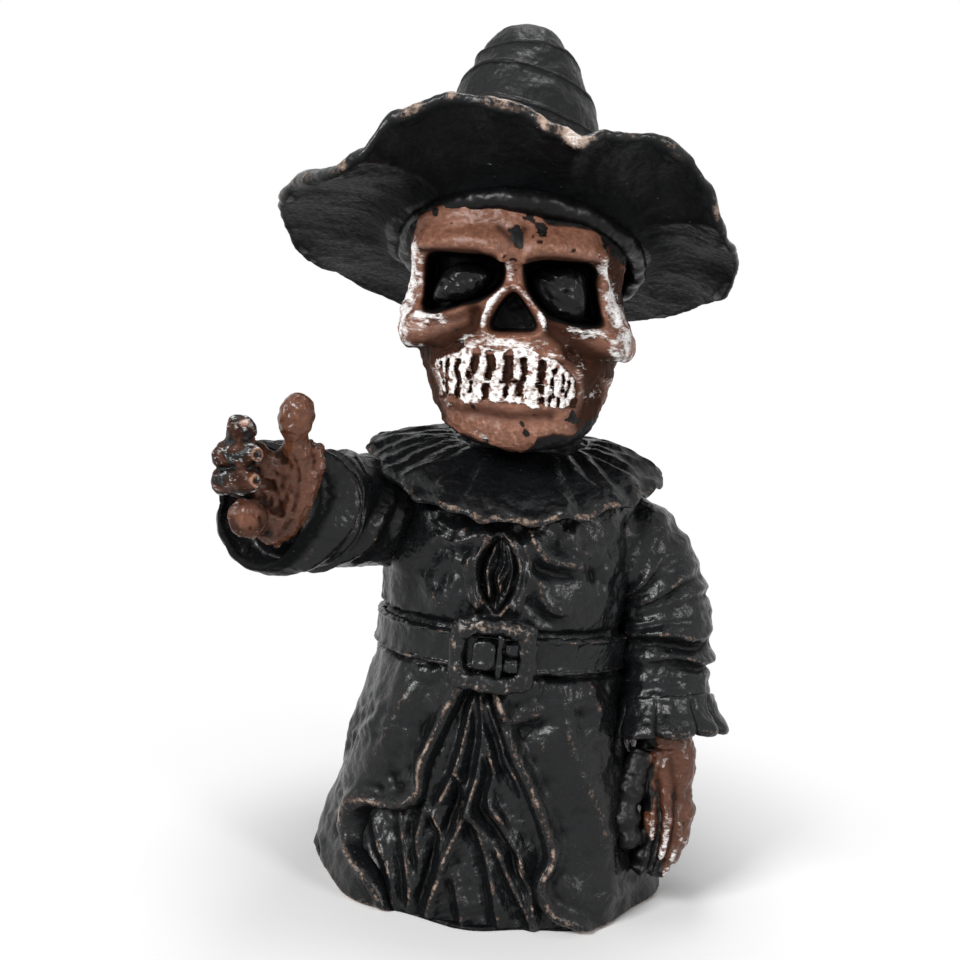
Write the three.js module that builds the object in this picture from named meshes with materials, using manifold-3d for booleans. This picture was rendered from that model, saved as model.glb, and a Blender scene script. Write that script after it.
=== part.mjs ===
import * as THREE from 'three';
import { mergeVertices } from 'three/addons/utils/BufferGeometryUtils.js';
import Module from 'manifold-3d';

const kernel = await Module();
kernel.setup();
const { Manifold, Mesh: SolidMesh } = kernel;

// Driving dimensions in millimetres. The figure faces -Y and stands on z = 0.
// Clearance between castings that touch
const GAP = 0.3;
// Coat casting
const BASE_HALF_WIDTH = 48;
const BASE_HALF_DEPTH = 46;
const WAIST_HEIGHT = 66;
const WAIST_HALF_WIDTH = 33;
const WAIST_HALF_DEPTH = 36.5;
const CHEST_HALF_WIDTH = 34.5;
const CHEST_HALF_DEPTH = 36;
const COAT_HEIGHT = 118;
const NECK_SEAT_RADIUS = 18;
const COAT_SQUARENESS = 2.2;
const SKIRT_FOLDS = 9;
const SKIRT_FOLD_DEPTH = 1.2;
const RIDGE_HEIGHT = 2.4;
const RIDGE_HALF_WIDTH = 5;
const ROLL_HEIGHT = 1.9;
const ROLL_HALF_WIDTH = 3;
const BACK_DRAPES = 6;
const BACK_DRAPE_DEPTH = 2;
// Panel between the coat fronts, and the slit on the chest
const RECESS_DEPTH = 5;
const PLEATS = 5;
const PLEAT_DEPTH = 1.4;
const SLIT_HEIGHT = 20;
const SLIT_HALF_WIDTH = 5.4;
const WELT_WIDTH = 3.4;
const WELT_RISE = 0.9;
const SHIRT_SINK = 1.2;
const SHIRT_RIPPLE = 0.5;
// Belt and buckle
const BELT_WIDTH = 9.5;
const BELT_THICKNESS = 2.2;
const BELT_TILT = 0.11;
const BUCKLE_WIDTH = 22;
const BUCKLE_HEIGHT = 19;
const BUCKLE_BAR = 3.8;
const BUCKLE_THICKNESS = 3;
const BUCKLE_X = 0.6;
// Ruff collar and neck
const COLLAR_INNER_RADIUS = 19;
const COLLAR_OUTER_RADIUS = 39.5;
const COLLAR_THICKNESS = 3;
const COLLAR_PLEATS = 18;
const COLLAR_PLEAT_DEPTH = 1.1;
const COLLAR_FRONT_DROP = 12;
const COLLAR_SIDE_DROP = 4;
const COLLAR_RISE = 1.6;
const NECK_RADIUS = 16;
const PEG_RADIUS = 5;
const PEG_DEPTH = 12;
// Skull
const CHIN_ABOVE_COAT = 2;
const SKULL_HEIGHT = 73.5;
const SKULL_HALF_WIDTH = 28.8;
const FACE_DEPTH = 37;
const SKULL_BACK = 28;
const SKULL_LEAN = -0.085;
const SKULL_TURN_ANGLE = 0.07;
const SKULL_X = -0.9;
const EYE_RADIUS = 6.6;
const TOOTH_PITCH = 3.3;
const TEETH = 10;
const TOOTH_HEIGHT = 6.4;
const GUM_DEPTH = 3;
// Hat
const HAT_X = -5;
const HAT_SEAT_SHARE = 0.735;
const HAT_TILT = 0.4;
const CROWN_HEIGHT = 54.8;
const CROWN_RADIUS = 31;
const CROWN_SLANT = 1.5;
const BRIM_RADIUS = 60.5;
const BRIM_THICKNESS = 3.2;
const BRIM_WAVE = 5;
const BAND_RADIUS = 2.6;
// Arms and hands
const SLEEVE_RADIUS = 14;
const RIGHT_ARM_OUT = 27.5;
const RIGHT_ARM_AHEAD = 44;
const RIGHT_ARM_RISE = 6;
const LEFT_ARM_AHEAD = 11;
const LEFT_ARM_DROP = 45;
const CUFF_LENGTH = 12;
const FRILL_LENGTH = 9;
const CUFF_THICKNESS = 2.4;
const CUFF_LIP_ASIDE = 6;
const RIGHT_PALM = 31;
const LEFT_PALM = 24;
const FINGER_RADIUS = 3.6;
const HAND_PEG_RADIUS = 4;

// Paint and casting finishes
const blackPaint = new THREE.MeshStandardMaterial({ color: 0x1d1d1e, roughness: 0.45, metalness: 0 });
const darkPaint = new THREE.MeshStandardMaterial({ color: 0x161617, roughness: 0.4, metalness: 0 });
const copperPaint = new THREE.MeshStandardMaterial({ color: 0x7a4a38, roughness: 0.5, metalness: 0 });
const whitePaint = new THREE.MeshStandardMaterial({ color: 0xcfc8c0, roughness: 0.6, metalness: 0 });
const glossPaint = new THREE.MeshStandardMaterial({ color: 0x0c0c0d, roughness: 0.15, metalness: 0 });
const bronzePaint = new THREE.MeshStandardMaterial({ color: 0x2b2522, roughness: 0.4, metalness: 0 });

// Small number helpers
const { clamp, lerp, smoothstep } = THREE.MathUtils;
const bump = (value, centre, spread) => Math.exp(-(((value - centre) / spread) ** 2));
const signedPower = (value, power) => Math.sign(value) * Math.abs(value) ** power;
const vec = (x, y, z) => new THREE.Vector3(x, y, z);

// Value at a key between the rows [key, value] of a table, straight from row to row
function between(rows, key) {
  const last = rows.length - 1;
  let i = 0;
  while (i < last - 1 && key > rows[i + 1][0]) i += 1;
  const part = clamp((key - rows[i][0]) / (rows[i + 1][0] - rows[i][0]), 0, 1);
  return lerp(rows[i][1], rows[i + 1][1], part);
}

// The same, easing in and out of every row
function easedBetween(rows, key) {
  const last = rows.length - 1;
  let i = 0;
  while (i < last - 1 && key > rows[i + 1][0]) i += 1;
  return lerp(rows[i][1], rows[i + 1][1], smoothstep(key, rows[i][0], rows[i + 1][0]));
}

// Moves every vertex of a three.js geometry
function deform(geometry, place) {
  const points = geometry.getAttribute('position');
  const point = new THREE.Vector3();
  for (let i = 0; i < points.count; i += 1) {
    point.fromBufferAttribute(points, i);
    const moved = place(point);
    points.setXYZ(i, moved.x, moved.y, moved.z);
  }
  return geometry;
}

// A closed geometry as a solid: welded by place, slivers dropped, faces turned outward
function solid(geometry) {
  const bare = new THREE.BufferGeometry();
  bare.setAttribute('position', geometry.getAttribute('position'));
  bare.setIndex(geometry.getIndex());
  const welded = mergeVertices(bare, 1e-4);
  const corners = welded.getIndex().array;
  const forward = [];
  const backward = [];
  for (let i = 0; i < corners.length; i += 3) {
    const [a, b, c] = [corners[i], corners[i + 1], corners[i + 2]];
    if (a !== b && b !== c && c !== a) {
      forward.push(a, b, c);
      backward.push(a, c, b);
    }
  }
  const vertProperties = new Float32Array(welded.getAttribute('position').array);
  const build = (list) => new Manifold(
    new SolidMesh({ numProp: 3, vertProperties, triVerts: new Uint32Array(list) }),
  );
  const body = build(forward);
  return body.volume() > 0 ? body : build(backward);
}

// The largest connected body, so that a cut leaves no loose chip
function largest(body) {
  const parts = body.decompose();
  return parts.reduce((best, part) => (part.volume() > best.volume() ? part : best));
}

// A solid as a named mesh
function piece(name, body, finish) {
  const { vertProperties, triVerts, numProp } = largest(body).getMesh();
  const count = vertProperties.length / numProp;
  const places = new Float32Array(count * 3);
  for (let i = 0; i < count; i += 1) {
    places.set(vertProperties.subarray(i * numProp, i * numProp + 3), i * 3);
  }
  const geometry = new THREE.BufferGeometry();
  geometry.setAttribute('position', new THREE.BufferAttribute(places, 3));
  geometry.setIndex(new THREE.BufferAttribute(new Uint32Array(triVerts), 1));
  geometry.computeVertexNormals();
  const mesh = new THREE.Mesh(geometry, finish);
  mesh.name = name;
  return mesh;
}

// A round bar between two points
function rod(start, end, radius, sides) {
  const axis = end.clone().sub(start);
  const geometry = new THREE.CylinderGeometry(radius, radius, axis.length(), sides);
  const turn = new THREE.Quaternion().setFromUnitVectors(vec(0, 1, 0), axis.normalize());
  geometry.applyQuaternion(turn);
  geometry.translate((start.x + end.x) / 2, (start.y + end.y) / 2, (start.z + end.z) / 2);
  return solid(geometry);
}

// A closed tube along a curve: radiusAt(t, angle) gives its radius, up fixes its twist
function sweep(points, radiusAt, up, around, along) {
  const path = new THREE.CatmullRomCurve3(points);
  const geometry = new THREE.CylinderGeometry(1, 1, 1, around, along);
  return solid(deform(geometry, (p) => {
    const t = clamp(p.y + 0.5, 0, 1);
    const centre = path.getPoint(t);
    const tangent = path.getTangent(t);
    const side = up.clone().cross(tangent).normalize();
    const over = side.clone().cross(tangent);
    const angle = Math.atan2(p.z, p.x);
    const radius = Math.hypot(p.x, p.z) * radiusAt(t, angle);
    centre.addScaledVector(side, radius * Math.cos(angle));
    return centre.addScaledVector(over, radius * Math.sin(angle));
  }));
}

// Coat casting: half-width, half-depth and height of the rows from hem to neck
const coatRise = (part) => lerp(WAIST_HEIGHT, COAT_HEIGHT, part);
const COAT_ROWS = new THREE.CatmullRomCurve3([
  vec(BASE_HALF_WIDTH, BASE_HALF_DEPTH, 0),
  vec(BASE_HALF_WIDTH * 0.97, BASE_HALF_DEPTH * 0.98, WAIST_HEIGHT * 0.12),
  vec(BASE_HALF_WIDTH * 0.87, BASE_HALF_DEPTH * 0.92, WAIST_HEIGHT * 0.35),
  vec(BASE_HALF_WIDTH * 0.815, BASE_HALF_DEPTH * 0.885, WAIST_HEIGHT * 0.6),
  vec(WAIST_HALF_WIDTH * 1.09, WAIST_HALF_DEPTH * 1.02, WAIST_HEIGHT * 0.83),
  vec(WAIST_HALF_WIDTH, WAIST_HALF_DEPTH, WAIST_HEIGHT),
  vec(CHEST_HALF_WIDTH * 0.98, CHEST_HALF_DEPTH * 1.01, coatRise(0.18)),
  vec(CHEST_HALF_WIDTH, CHEST_HALF_DEPTH, coatRise(0.38)),
  vec(CHEST_HALF_WIDTH * 0.985, CHEST_HALF_DEPTH * 0.95, coatRise(0.58)),
  vec(CHEST_HALF_WIDTH * 0.93, CHEST_HALF_DEPTH * 0.82, coatRise(0.75)),
  vec(CHEST_HALF_WIDTH * 0.8, CHEST_HALF_DEPTH * 0.69, coatRise(0.86)),
  vec(CHEST_HALF_WIDTH * 0.65, CHEST_HALF_DEPTH * 0.58, coatRise(0.94)),
  vec(NECK_SEAT_RADIUS, NECK_SEAT_RADIUS, COAT_HEIGHT),
], false, 'catmullrom');

// The row of the coat at a height
function coatRow(height) {
  let low = 0;
  let high = 1;
  for (let i = 0; i < 24; i += 1) {
    const middle = (low + high) / 2;
    if (COAT_ROWS.getPoint(middle).z < height) low = middle;
    else high = middle;
  }
  return COAT_ROWS.getPoint(low);
}

// Depth of the coat's front at a place seen from the front
function coatFront(x, height) {
  const row = coatRow(height);
  const inside = Math.max(0, 1 - (Math.abs(x) / row.x) ** COAT_SQUARENESS);
  return -row.y * inside ** (1 / COAT_SQUARENESS);
}

// Lines on the skirt's front, as [height, x] rows in fractions of waist height and base half-width: the edges
// of the coat fronts, and the two ridges that fall from the belt on either side of them
const skirtLine = (rows) => rows.map(([height, x]) => [height * WAIST_HEIGHT, x * BASE_HALF_WIDTH]);
const LEFT_EDGE = skirtLine([
  [-0.1, -0.43], [0, -0.43], [0.12, -0.5], [0.21, -0.59], [0.32, -0.62], [0.41, -0.53],
  [0.45, -0.36], [0.52, -0.29], [0.7, -0.245], [0.82, -0.17], [0.97, -0.1], [1.1, -0.08],
]);
const RIGHT_EDGE = skirtLine([
  [-0.1, 0.5], [0, 0.48], [0.08, 0.42], [0.18, 0.35], [0.3, 0.37], [0.45, 0.27],
  [0.63, 0.18], [0.8, 0.115], [0.95, 0.04], [1.1, 0.02],
]);
const LEFT_RIDGE = skirtLine([
  [0.12, -0.75], [0.36, -0.71], [0.55, -0.6], [0.69, -0.51], [0.81, -0.43], [1, -0.36],
]);
const RIGHT_RIDGE = skirtLine([
  [0.12, 0.68], [0.38, 0.64], [0.52, 0.57], [0.64, 0.5], [0.75, 0.42], [0.86, 0.39], [1, 0.32],
]);

// A round crest along a bent line, at a place on the coat's front
function crestAlong(line, halfWidth, x, height) {
  const spot = new THREE.Vector2(height, x);
  let away = Infinity;
  for (let i = 0; i + 1 < line.length; i += 1) {
    const start = new THREE.Vector2(...line[i]);
    const run = new THREE.Vector2(...line[i + 1]).sub(start);
    const part = clamp(spot.clone().sub(start).dot(run) / run.lengthSq(), 0, 1);
    away = Math.min(away, spot.distanceTo(start.addScaledVector(run, part)));
  }
  return bump(away, 0, halfWidth);
}

// How far the coat's main folds stand off its plain section: the ridges and rolled edges of the front and the
// drapes of the back, all dying away towards the belt
function coatLift(angle, reach, height) {
  const x = reach * Math.sin(angle);
  const ridges = [LEFT_RIDGE, RIGHT_RIDGE].map((line) => crestAlong(line, RIDGE_HALF_WIDTH, x, height));
  const rolls = [LEFT_EDGE, RIGHT_EDGE].map((line) => crestAlong(line, ROLL_HALF_WIDTH, x, height));
  const crest = Math.max(RIDGE_HEIGHT * Math.max(...ridges), ROLL_HEIGHT * Math.max(...rolls));
  const front = smoothstep(Math.cos(angle), 0, 0.35) * crest;
  const drape = Math.abs(Math.sin(BACK_DRAPES * Math.PI / 2 * Math.sin(angle))) - 0.5;
  const back = smoothstep(-Math.cos(angle), 0, 0.4) * BACK_DRAPE_DEPTH * drape;
  const fromBelt = WAIST_HEIGHT + reach * Math.cos(angle) * Math.tan(BELT_TILT) - height;
  return (front + back) * smoothstep(fromBelt, BELT_WIDTH * 0.9, BELT_WIDTH * 1.7);
}

// The coat as a solid, grown outward by a margin, with its columns closer together at the front
function coatSolid(grow) {
  const geometry = new THREE.CylinderGeometry(1, 1, 1, 48, 22);
  return solid(deform(geometry, (p) => {
    const t = clamp(p.y + 0.5, 0, 1);
    const row = coatRow(t * COAT_HEIGHT);
    const even = Math.atan2(p.x, p.z);
    const angle = even - 0.25 * Math.sin(even);
    const across = Math.abs(Math.sin(angle)) / row.x;
    const ahead = Math.abs(Math.cos(angle)) / row.y;
    const reach = (across ** COAT_SQUARENESS + ahead ** COAT_SQUARENESS) ** (-1 / COAT_SQUARENESS);
    const hem = clamp(1 - row.z / WAIST_HEIGHT, 0, 1);
    const fold = SKIRT_FOLD_DEPTH * hem * Math.cos(SKIRT_FOLDS * angle) + coatLift(angle, reach, row.z);
    const radius = Math.hypot(p.x, p.z) * (reach + fold + grow);
    return vec(radius * Math.sin(angle), -radius * Math.cos(angle), row.z + grow * (2 * t - 1));
  }));
}

// A panel let into the coat's front: its edges by height, its depth behind and in front of the coat
function panel(left, right, low, high, behind, ahead, columns, rows) {
  const geometry = new THREE.BoxGeometry(1, 1, 1, columns, 1, rows);
  return solid(deform(geometry, (p) => {
    const height = lerp(low, high, p.z + 0.5);
    const across = p.x + 0.5;
    const x = lerp(left(height), right(height), across);
    const front = coatFront(x, clamp(height, 0, COAT_HEIGHT));
    return vec(x, p.y > 0 ? front + behind : front - ahead(across, height), height);
  }));
}

// Underskirt, pleated, let in between the edges of the coat fronts
const skirtTop = WAIST_HEIGHT * 0.97;
const underskirtPanel = panel(
  (height) => between(LEFT_EDGE, height) + GAP,
  (height) => between(RIGHT_EDGE, height) - GAP,
  0, skirtTop - GAP, RECESS_DEPTH - GAP,
  (across) => PLEAT_DEPTH * (0.4 * Math.cos(2 * Math.PI * PLEATS * across) - 1), 20, 9,
);
const underskirtRecess = panel(
  (height) => between(LEFT_EDGE, height),
  (height) => between(RIGHT_EDGE, height),
  -GAP, skirtTop, RECESS_DEPTH, () => RECESS_DEPTH, 8, 9,
);

// Chest slit: a lens-shaped opening with raised welts and the crumpled shirt inside
const slitCentre = coatRise(0.47);
const slitHalf = (height, margin) => {
  const part = (height - slitCentre) / (SLIT_HEIGHT / 2 + margin);
  return Math.max(GAP * 2, (SLIT_HALF_WIDTH + margin) * (1 - part * part));
};
const slitPanel = (margin, behind, ahead, columns, rows) => panel(
  (height) => BUCKLE_X - slitHalf(height, margin),
  (height) => BUCKLE_X + slitHalf(height, margin),
  slitCentre - SLIT_HEIGHT / 2 - margin, slitCentre + SLIT_HEIGHT / 2 + margin,
  behind, ahead, columns, rows,
);
const weltRing = slitPanel(WELT_WIDTH, RECESS_DEPTH / 2, () => WELT_RISE, 6, 8);
const slitRecess = slitPanel(0, RECESS_DEPTH, () => RECESS_DEPTH, 4, 8);
const shirtPanel = slitPanel(
  -GAP, RECESS_DEPTH - GAP,
  (across, height) => SHIRT_RIPPLE * Math.sin(height * 1.3 + across * 5) - SHIRT_SINK, 4, 10,
);

// Belt round the waist, tilted up at the front
const beltSlab = (margin) => {
  const geometry = new THREE.BoxGeometry(4 * BASE_HALF_WIDTH, 4 * BASE_HALF_DEPTH, BELT_WIDTH + 2 * margin);
  geometry.rotateX(-BELT_TILT);
  geometry.translate(0, 0, WAIST_HEIGHT);
  return solid(geometry);
};
const coatGrown = coatSolid(GAP);
const beltOuter = coatSolid(GAP + BELT_THICKNESS);
const beltSeat = coatSolid(2 * GAP + BELT_THICKNESS);
const belt = beltOuter.intersect(beltSlab(0)).subtract(coatGrown);
const beltGrown = beltSeat.intersect(beltSlab(GAP));

// Buckle: rounded square frame with a cross bar, the belt's end and a prong, curved to the belt
const buckleZ = WAIST_HEIGHT + WAIST_HALF_DEPTH * Math.tan(BELT_TILT);
const onBelt = (x, z, lift) => vec(
  BUCKLE_X + x,
  coatFront(BUCKLE_X + x, buckleZ + z) - 2 * GAP - BELT_THICKNESS - lift,
  buckleZ + z,
);
const frameRing = solid(deform(new THREE.TorusGeometry(2, 1, 6, 28), (p) => {
  const angle = Math.atan2(p.y, p.x);
  const inward = (1 - (Math.hypot(p.x, p.y) - 2)) * BUCKLE_BAR / 2;
  const x = (BUCKLE_WIDTH / 2 - inward) * signedPower(Math.cos(angle), 0.45);
  const z = (BUCKLE_HEIGHT / 2 - inward) * signedPower(Math.sin(angle), 0.45);
  return onBelt(x, z, BUCKLE_THICKNESS * (0.35 + p.z / 2));
}));
const barX = BUCKLE_WIDTH * 0.09;
const barReach = BUCKLE_HEIGHT / 2 - BUCKLE_BAR / 2;
const buckleBar = rod(
  onBelt(barX, -barReach, BUCKLE_THICKNESS * 0.3),
  onBelt(barX, barReach, BUCKLE_THICKNESS * 0.3),
  BUCKLE_BAR * 0.32, 10,
);
const buckleFrame = frameRing.add(buckleBar).subtract(beltSeat);
const onBeltBlock = (x0, x1, halfHeight, thickness) => {
  const geometry = new THREE.BoxGeometry(1, 1, 1, 2, 1, 2);
  return solid(deform(geometry, (p) => {
    const round = p.y < 0 ? 0.86 : 1;
    const x = lerp(x0, x1, 0.5 + p.x * round);
    return onBelt(x, 2 * halfHeight * p.z * round, p.y < 0 ? thickness : -GAP);
  }));
};
const barSide = BUCKLE_BAR * 0.32 + GAP;
const frameInside = BUCKLE_WIDTH / 2 - BUCKLE_BAR - GAP;
const beltTip = onBeltBlock(
  -frameInside * 0.82, barX - barSide, BUCKLE_HEIGHT * 0.17, BUCKLE_THICKNESS * 0.6,
);
const buckleProng = onBeltBlock(barX + barSide, frameInside, BUCKLE_HEIGHT * 0.12, BUCKLE_THICKNESS * 0.7);

// Skull: half-width, face and back of the rows from chin to crown, as fractions
const skullRow = (part, width, face, back) => ({
  face: vec(width * SKULL_HALF_WIDTH, face * FACE_DEPTH, part * SKULL_HEIGHT),
  back: vec(0, back * SKULL_BACK, part * SKULL_HEIGHT),
});
const SKULL_ROWS = [
  skullRow(0.003, 0.25, 0.88, -0.36),
  skullRow(0.028, 0.47, 0.97, -0.18),
  skullRow(0.08, 0.66, 1, 0.03),
  skullRow(0.163, 0.78, 1.01, 0.28),
  skullRow(0.26, 0.85, 1, 0.5),
  skullRow(0.34, 0.92, 0.97, 0.71),
  skullRow(0.42, 0.97, 0.93, 0.86),
  skullRow(0.53, 0.985, 0.91, 0.96),
  skullRow(0.64, 1, 0.94, 1),
  skullRow(0.735, 0.98, 0.94, 0.98),
  skullRow(0.816, 0.88, 0.92, 0.9),
  skullRow(0.885, 0.7, 0.81, 0.7),
  skullRow(0.94, 0.42, 0.55, 0.4),
  skullRow(0.96, 0.14, 0.2, 0.12),
];
const SKULL_FACE = new THREE.CatmullRomCurve3(SKULL_ROWS.map((row) => row.face), false, 'catmullrom');
const SKULL_REAR = new THREE.CatmullRomCurve3(SKULL_ROWS.map((row) => row.back), false, 'catmullrom');
const SKULL_SQUARENESS = 2.5;

// Brow, cheekbones, hollows, temples and muzzle as a push out of the plain section
function skullRelief(angle, part) {
  const side = Math.abs(angle);
  const push = 0.076 * bump(part, 0.69, 0.045) * bump(side, 0, 0.8)
    + 0.118 * bump(part, 0.375, 0.075) * bump(side, 1.1, 0.4)
    - 0.083 * bump(part, 0.22, 0.07) * bump(side, 1.05, 0.3)
    - 0.042 * bump(part, 0.56, 0.08) * bump(side, 1.35, 0.35)
    + 0.056 * bump(part, 0.26, 0.1) * bump(side, 0, 0.55)
    + 0.049 * bump(part, 0.45, 0.06) * bump(side, 0, 0.2);
  return push * SKULL_HALF_WIDTH;
}

// A point of the skull in its own frame: row parameter, angle from the face, margin
function skullPoint(t, angle, spread, grow) {
  const face = SKULL_FACE.getPoint(t);
  const rear = SKULL_REAR.getPoint(t);
  const halfDepth = (face.y + rear.y) / 2;
  const middle = (rear.y - face.y) / 2;
  const across = Math.abs(Math.sin(angle)) / face.x;
  const ahead = Math.abs(Math.cos(angle)) / halfDepth;
  const n = SKULL_SQUARENESS;
  const reach = (across ** n + ahead ** n) ** (-1 / n) + skullRelief(angle, face.z / SKULL_HEIGHT) + grow;
  const radius = spread * reach;
  return vec(radius * Math.sin(angle), middle - radius * Math.cos(angle), face.z + grow * (2 * t - 1));
}

// From the skull's frame to the figure's
const chinZ = COAT_HEIGHT + CHIN_ABOVE_COAT;
function headPlace(p) {
  const x = p.x + SKULL_LEAN * p.z;
  const turned = vec(x, p.y, 0).applyAxisAngle(vec(0, 0, 1), SKULL_TURN_ANGLE);
  return vec(SKULL_X + turned.x, turned.y, chinZ + p.z);
}

function skullSolid(grow) {
  const geometry = new THREE.CylinderGeometry(1, 1, 1, 32, 20);
  return solid(deform(geometry, (p) => {
    const t = clamp(p.y + 0.5, 0, 1);
    return headPlace(skullPoint(t, Math.atan2(p.x, p.z), Math.hypot(p.x, p.z), grow));
  }));
}

// Depth of the face at a place seen from the front, in the skull's frame
function faceFront(x, z) {
  let low = 0;
  let high = 1;
  for (let i = 0; i < 24; i += 1) {
    const middle = (low + high) / 2;
    if (SKULL_FACE.getPoint(middle).z < z) low = middle;
    else high = middle;
  }
  let near = 0;
  let far = Math.PI / 2;
  for (let i = 0; i < 24; i += 1) {
    const middle = (near + far) / 2;
    if (skullPoint(low, middle, 1, 0).x < Math.abs(x)) near = middle;
    else far = middle;
  }
  return skullPoint(low, near, 1, 0).y;
}

// A hole cut straight back into the face through a rounded outline that narrows with depth
function faceHole(corners, rounding, depth, narrow) {
  const outline = corners.map(([x, z]) => new THREE.Vector2(x * SKULL_HALF_WIDTH, z * SKULL_HEIGHT));
  const shape = new THREE.Shape();
  outline.forEach((corner, i) => {
    const before = outline[(i + outline.length - 1) % outline.length];
    const after = outline[(i + 1) % outline.length];
    const start = corner.clone().lerp(before, rounding);
    const end = corner.clone().lerp(after, rounding);
    if (i === 0) shape.moveTo(start.x, start.y);
    else shape.lineTo(start.x, start.y);
    shape.quadraticCurveTo(corner.x, corner.y, end.x, end.y);
  });
  const middle = new THREE.Vector2();
  outline.forEach((corner) => middle.addScaledVector(corner, 1 / outline.length));
  const geometry = new THREE.ExtrudeGeometry(shape, {
    depth: 1, steps: 1, curveSegments: 3, bevelEnabled: false,
  });
  const front = -1.4 * FACE_DEPTH;
  return solid(deform(geometry, (p) => {
    const scale = lerp(1.12, narrow, p.z);
    return headPlace(vec(
      middle.x + (p.x - middle.x) * scale,
      lerp(front, depth, p.z),
      middle.y + (p.y - middle.y) * scale,
    ));
  }));
}
const mirrored = (corners) => corners.map(([x, z]) => [-x, z]).reverse();
const SOCKET = [[0.13, 0.645], [0.66, 0.645], [0.71, 0.45], [0.22, 0.5]];
const NOSE = [[0, 0.535], [-0.19, 0.413], [0.19, 0.413]];
const socketFloor = -FACE_DEPTH * 0.66;
const leftSocket = faceHole(SOCKET, 0.28, socketFloor, 0.8);
const rightSocket = faceHole(mirrored(SOCKET), 0.28, socketFloor, 0.8);
const noseHole = faceHole(NOSE, 0.25, -FACE_DEPTH * 0.72, 0.6);

// Eyes set in the sockets
const eyeSolid = (side, grow) => {
  const geometry = new THREE.SphereGeometry(1, 14, 8);
  const radius = EYE_RADIUS + grow;
  return solid(deform(geometry, (p) => headPlace(vec(
    side * SKULL_HALF_WIDTH * 0.43 + p.x * radius * 1.08,
    socketFloor - EYE_RADIUS * 0.25 + p.y * radius,
    SKULL_HEIGHT * 0.555 + p.z * radius * 0.9,
  ))));
};

// The line of a row of teeth along the jaw, and a strip of the jaw's face along it
const toothSpan = TEETH * TOOTH_PITCH / 2;
const toothLine = (part, x) => SKULL_HEIGHT * part - 0.485 * TOOTH_PITCH * (x / toothSpan) ** 2;
function jawStrip(part, half, height, ahead, behind) {
  const strip = new THREE.BoxGeometry(1, 1, 1, 10, 1, 1);
  return solid(deform(strip, (p) => {
    const x = p.x * 2 * half;
    const line = toothLine(part, x);
    return headPlace(vec(x, faceFront(x, line) + (p.y > 0 ? behind : -ahead), line + p.z * height));
  }));
}

// A row of teeth on a strip let into the jaw, and the slot that holds it
const toothSlot = (part) => jawStrip(part, toothSpan + GAP, TOOTH_HEIGHT + GAP, GUM_DEPTH, GUM_DEPTH + GAP);
function teethRow(part) {
  const droop = (x) => toothLine(part, x);
  let row = jawStrip(part, toothSpan, TOOTH_HEIGHT * 0.8, -0.15 * TOOTH_PITCH, GUM_DEPTH);
  for (let i = 0; i < TEETH; i += 1) {
    const x = (i - (TEETH - 1) / 2) * TOOTH_PITCH;
    const front = faceFront(x, droop(x));
    const tooth = new THREE.BoxGeometry(2, 2, 2);
    row = row.add(solid(deform(tooth, (p) => headPlace(vec(
      x + p.x * TOOTH_PITCH * (p.y < 0 ? 0.3 : 0.43),
      front + TOOTH_PITCH * (0.18 + 0.455 * p.y),
      droop(x) + p.z * TOOTH_HEIGHT * (p.y < 0 ? 0.4 : 0.48),
    )))));
  }
  return row;
}
const UPPER_TEETH_SHARE = 0.308;
const LOWER_TEETH_SHARE = 0.216;
const skullGrown = skullSolid(GAP);

// Neck plug with a peg that runs into the coat and the skull
const neckPeg = (grow) => rod(
  vec(0, 0, COAT_HEIGHT - PEG_DEPTH - grow),
  vec(0, 0, chinZ + PEG_DEPTH * 1.4 + grow),
  PEG_RADIUS + grow, 16,
);
const neckPlug = rod(
  vec(0, 0, COAT_HEIGHT - PEG_DEPTH / 2),
  vec(0, 0, chinZ + PEG_DEPTH),
  NECK_RADIUS, 20,
).subtract(coatGrown).subtract(skullGrown);
const neck = largest(neckPlug).add(neckPeg(0));

// Ruff collar: a pleated ring that lies on the shoulders and drops at the front
function collarSolid(grow) {
  const geometry = new THREE.TorusGeometry(2, 1, 6, COLLAR_PLEATS * 4);
  return solid(deform(geometry, (p) => {
    const angle = Math.atan2(p.x, -p.y);
    const ring = Math.hypot(p.x, p.y) - 2;
    const across = 0.5 + signedPower(ring, 0.6) / 2;
    const front = Math.max(0, Math.cos(angle));
    const inner = COAT_HEIGHT + COLLAR_RISE - 0.22 * COLLAR_FRONT_DROP * front;
    const outer = COAT_HEIGHT - COLLAR_SIDE_DROP - 0.83 * COLLAR_FRONT_DROP * front ** 1.5
      - 0.75 * COLLAR_SIDE_DROP * Math.max(0, -Math.cos(angle));
    const pleat = COLLAR_PLEAT_DEPTH * across * Math.cos(COLLAR_PLEATS * angle);
    const thickness = signedPower(p.z, 0.6) * (COLLAR_THICKNESS / 2 + grow);
    const radius = lerp(COLLAR_INNER_RADIUS - grow, COLLAR_OUTER_RADIUS + grow + pleat * 0.6, across);
    const tip = -0.035 * radius * Math.sin(angle) * across;
    const height = lerp(inner, outer, across) + tip + pleat + thickness;
    const x = radius * Math.sin(angle) - 0.038 * COLLAR_OUTER_RADIUS * across;
    return vec(x, -radius * Math.cos(angle), height);
  }));
}
const collar = collarSolid(0).subtract(coatGrown).subtract(skullGrown);
const collarGrown = collarSolid(GAP);

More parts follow.
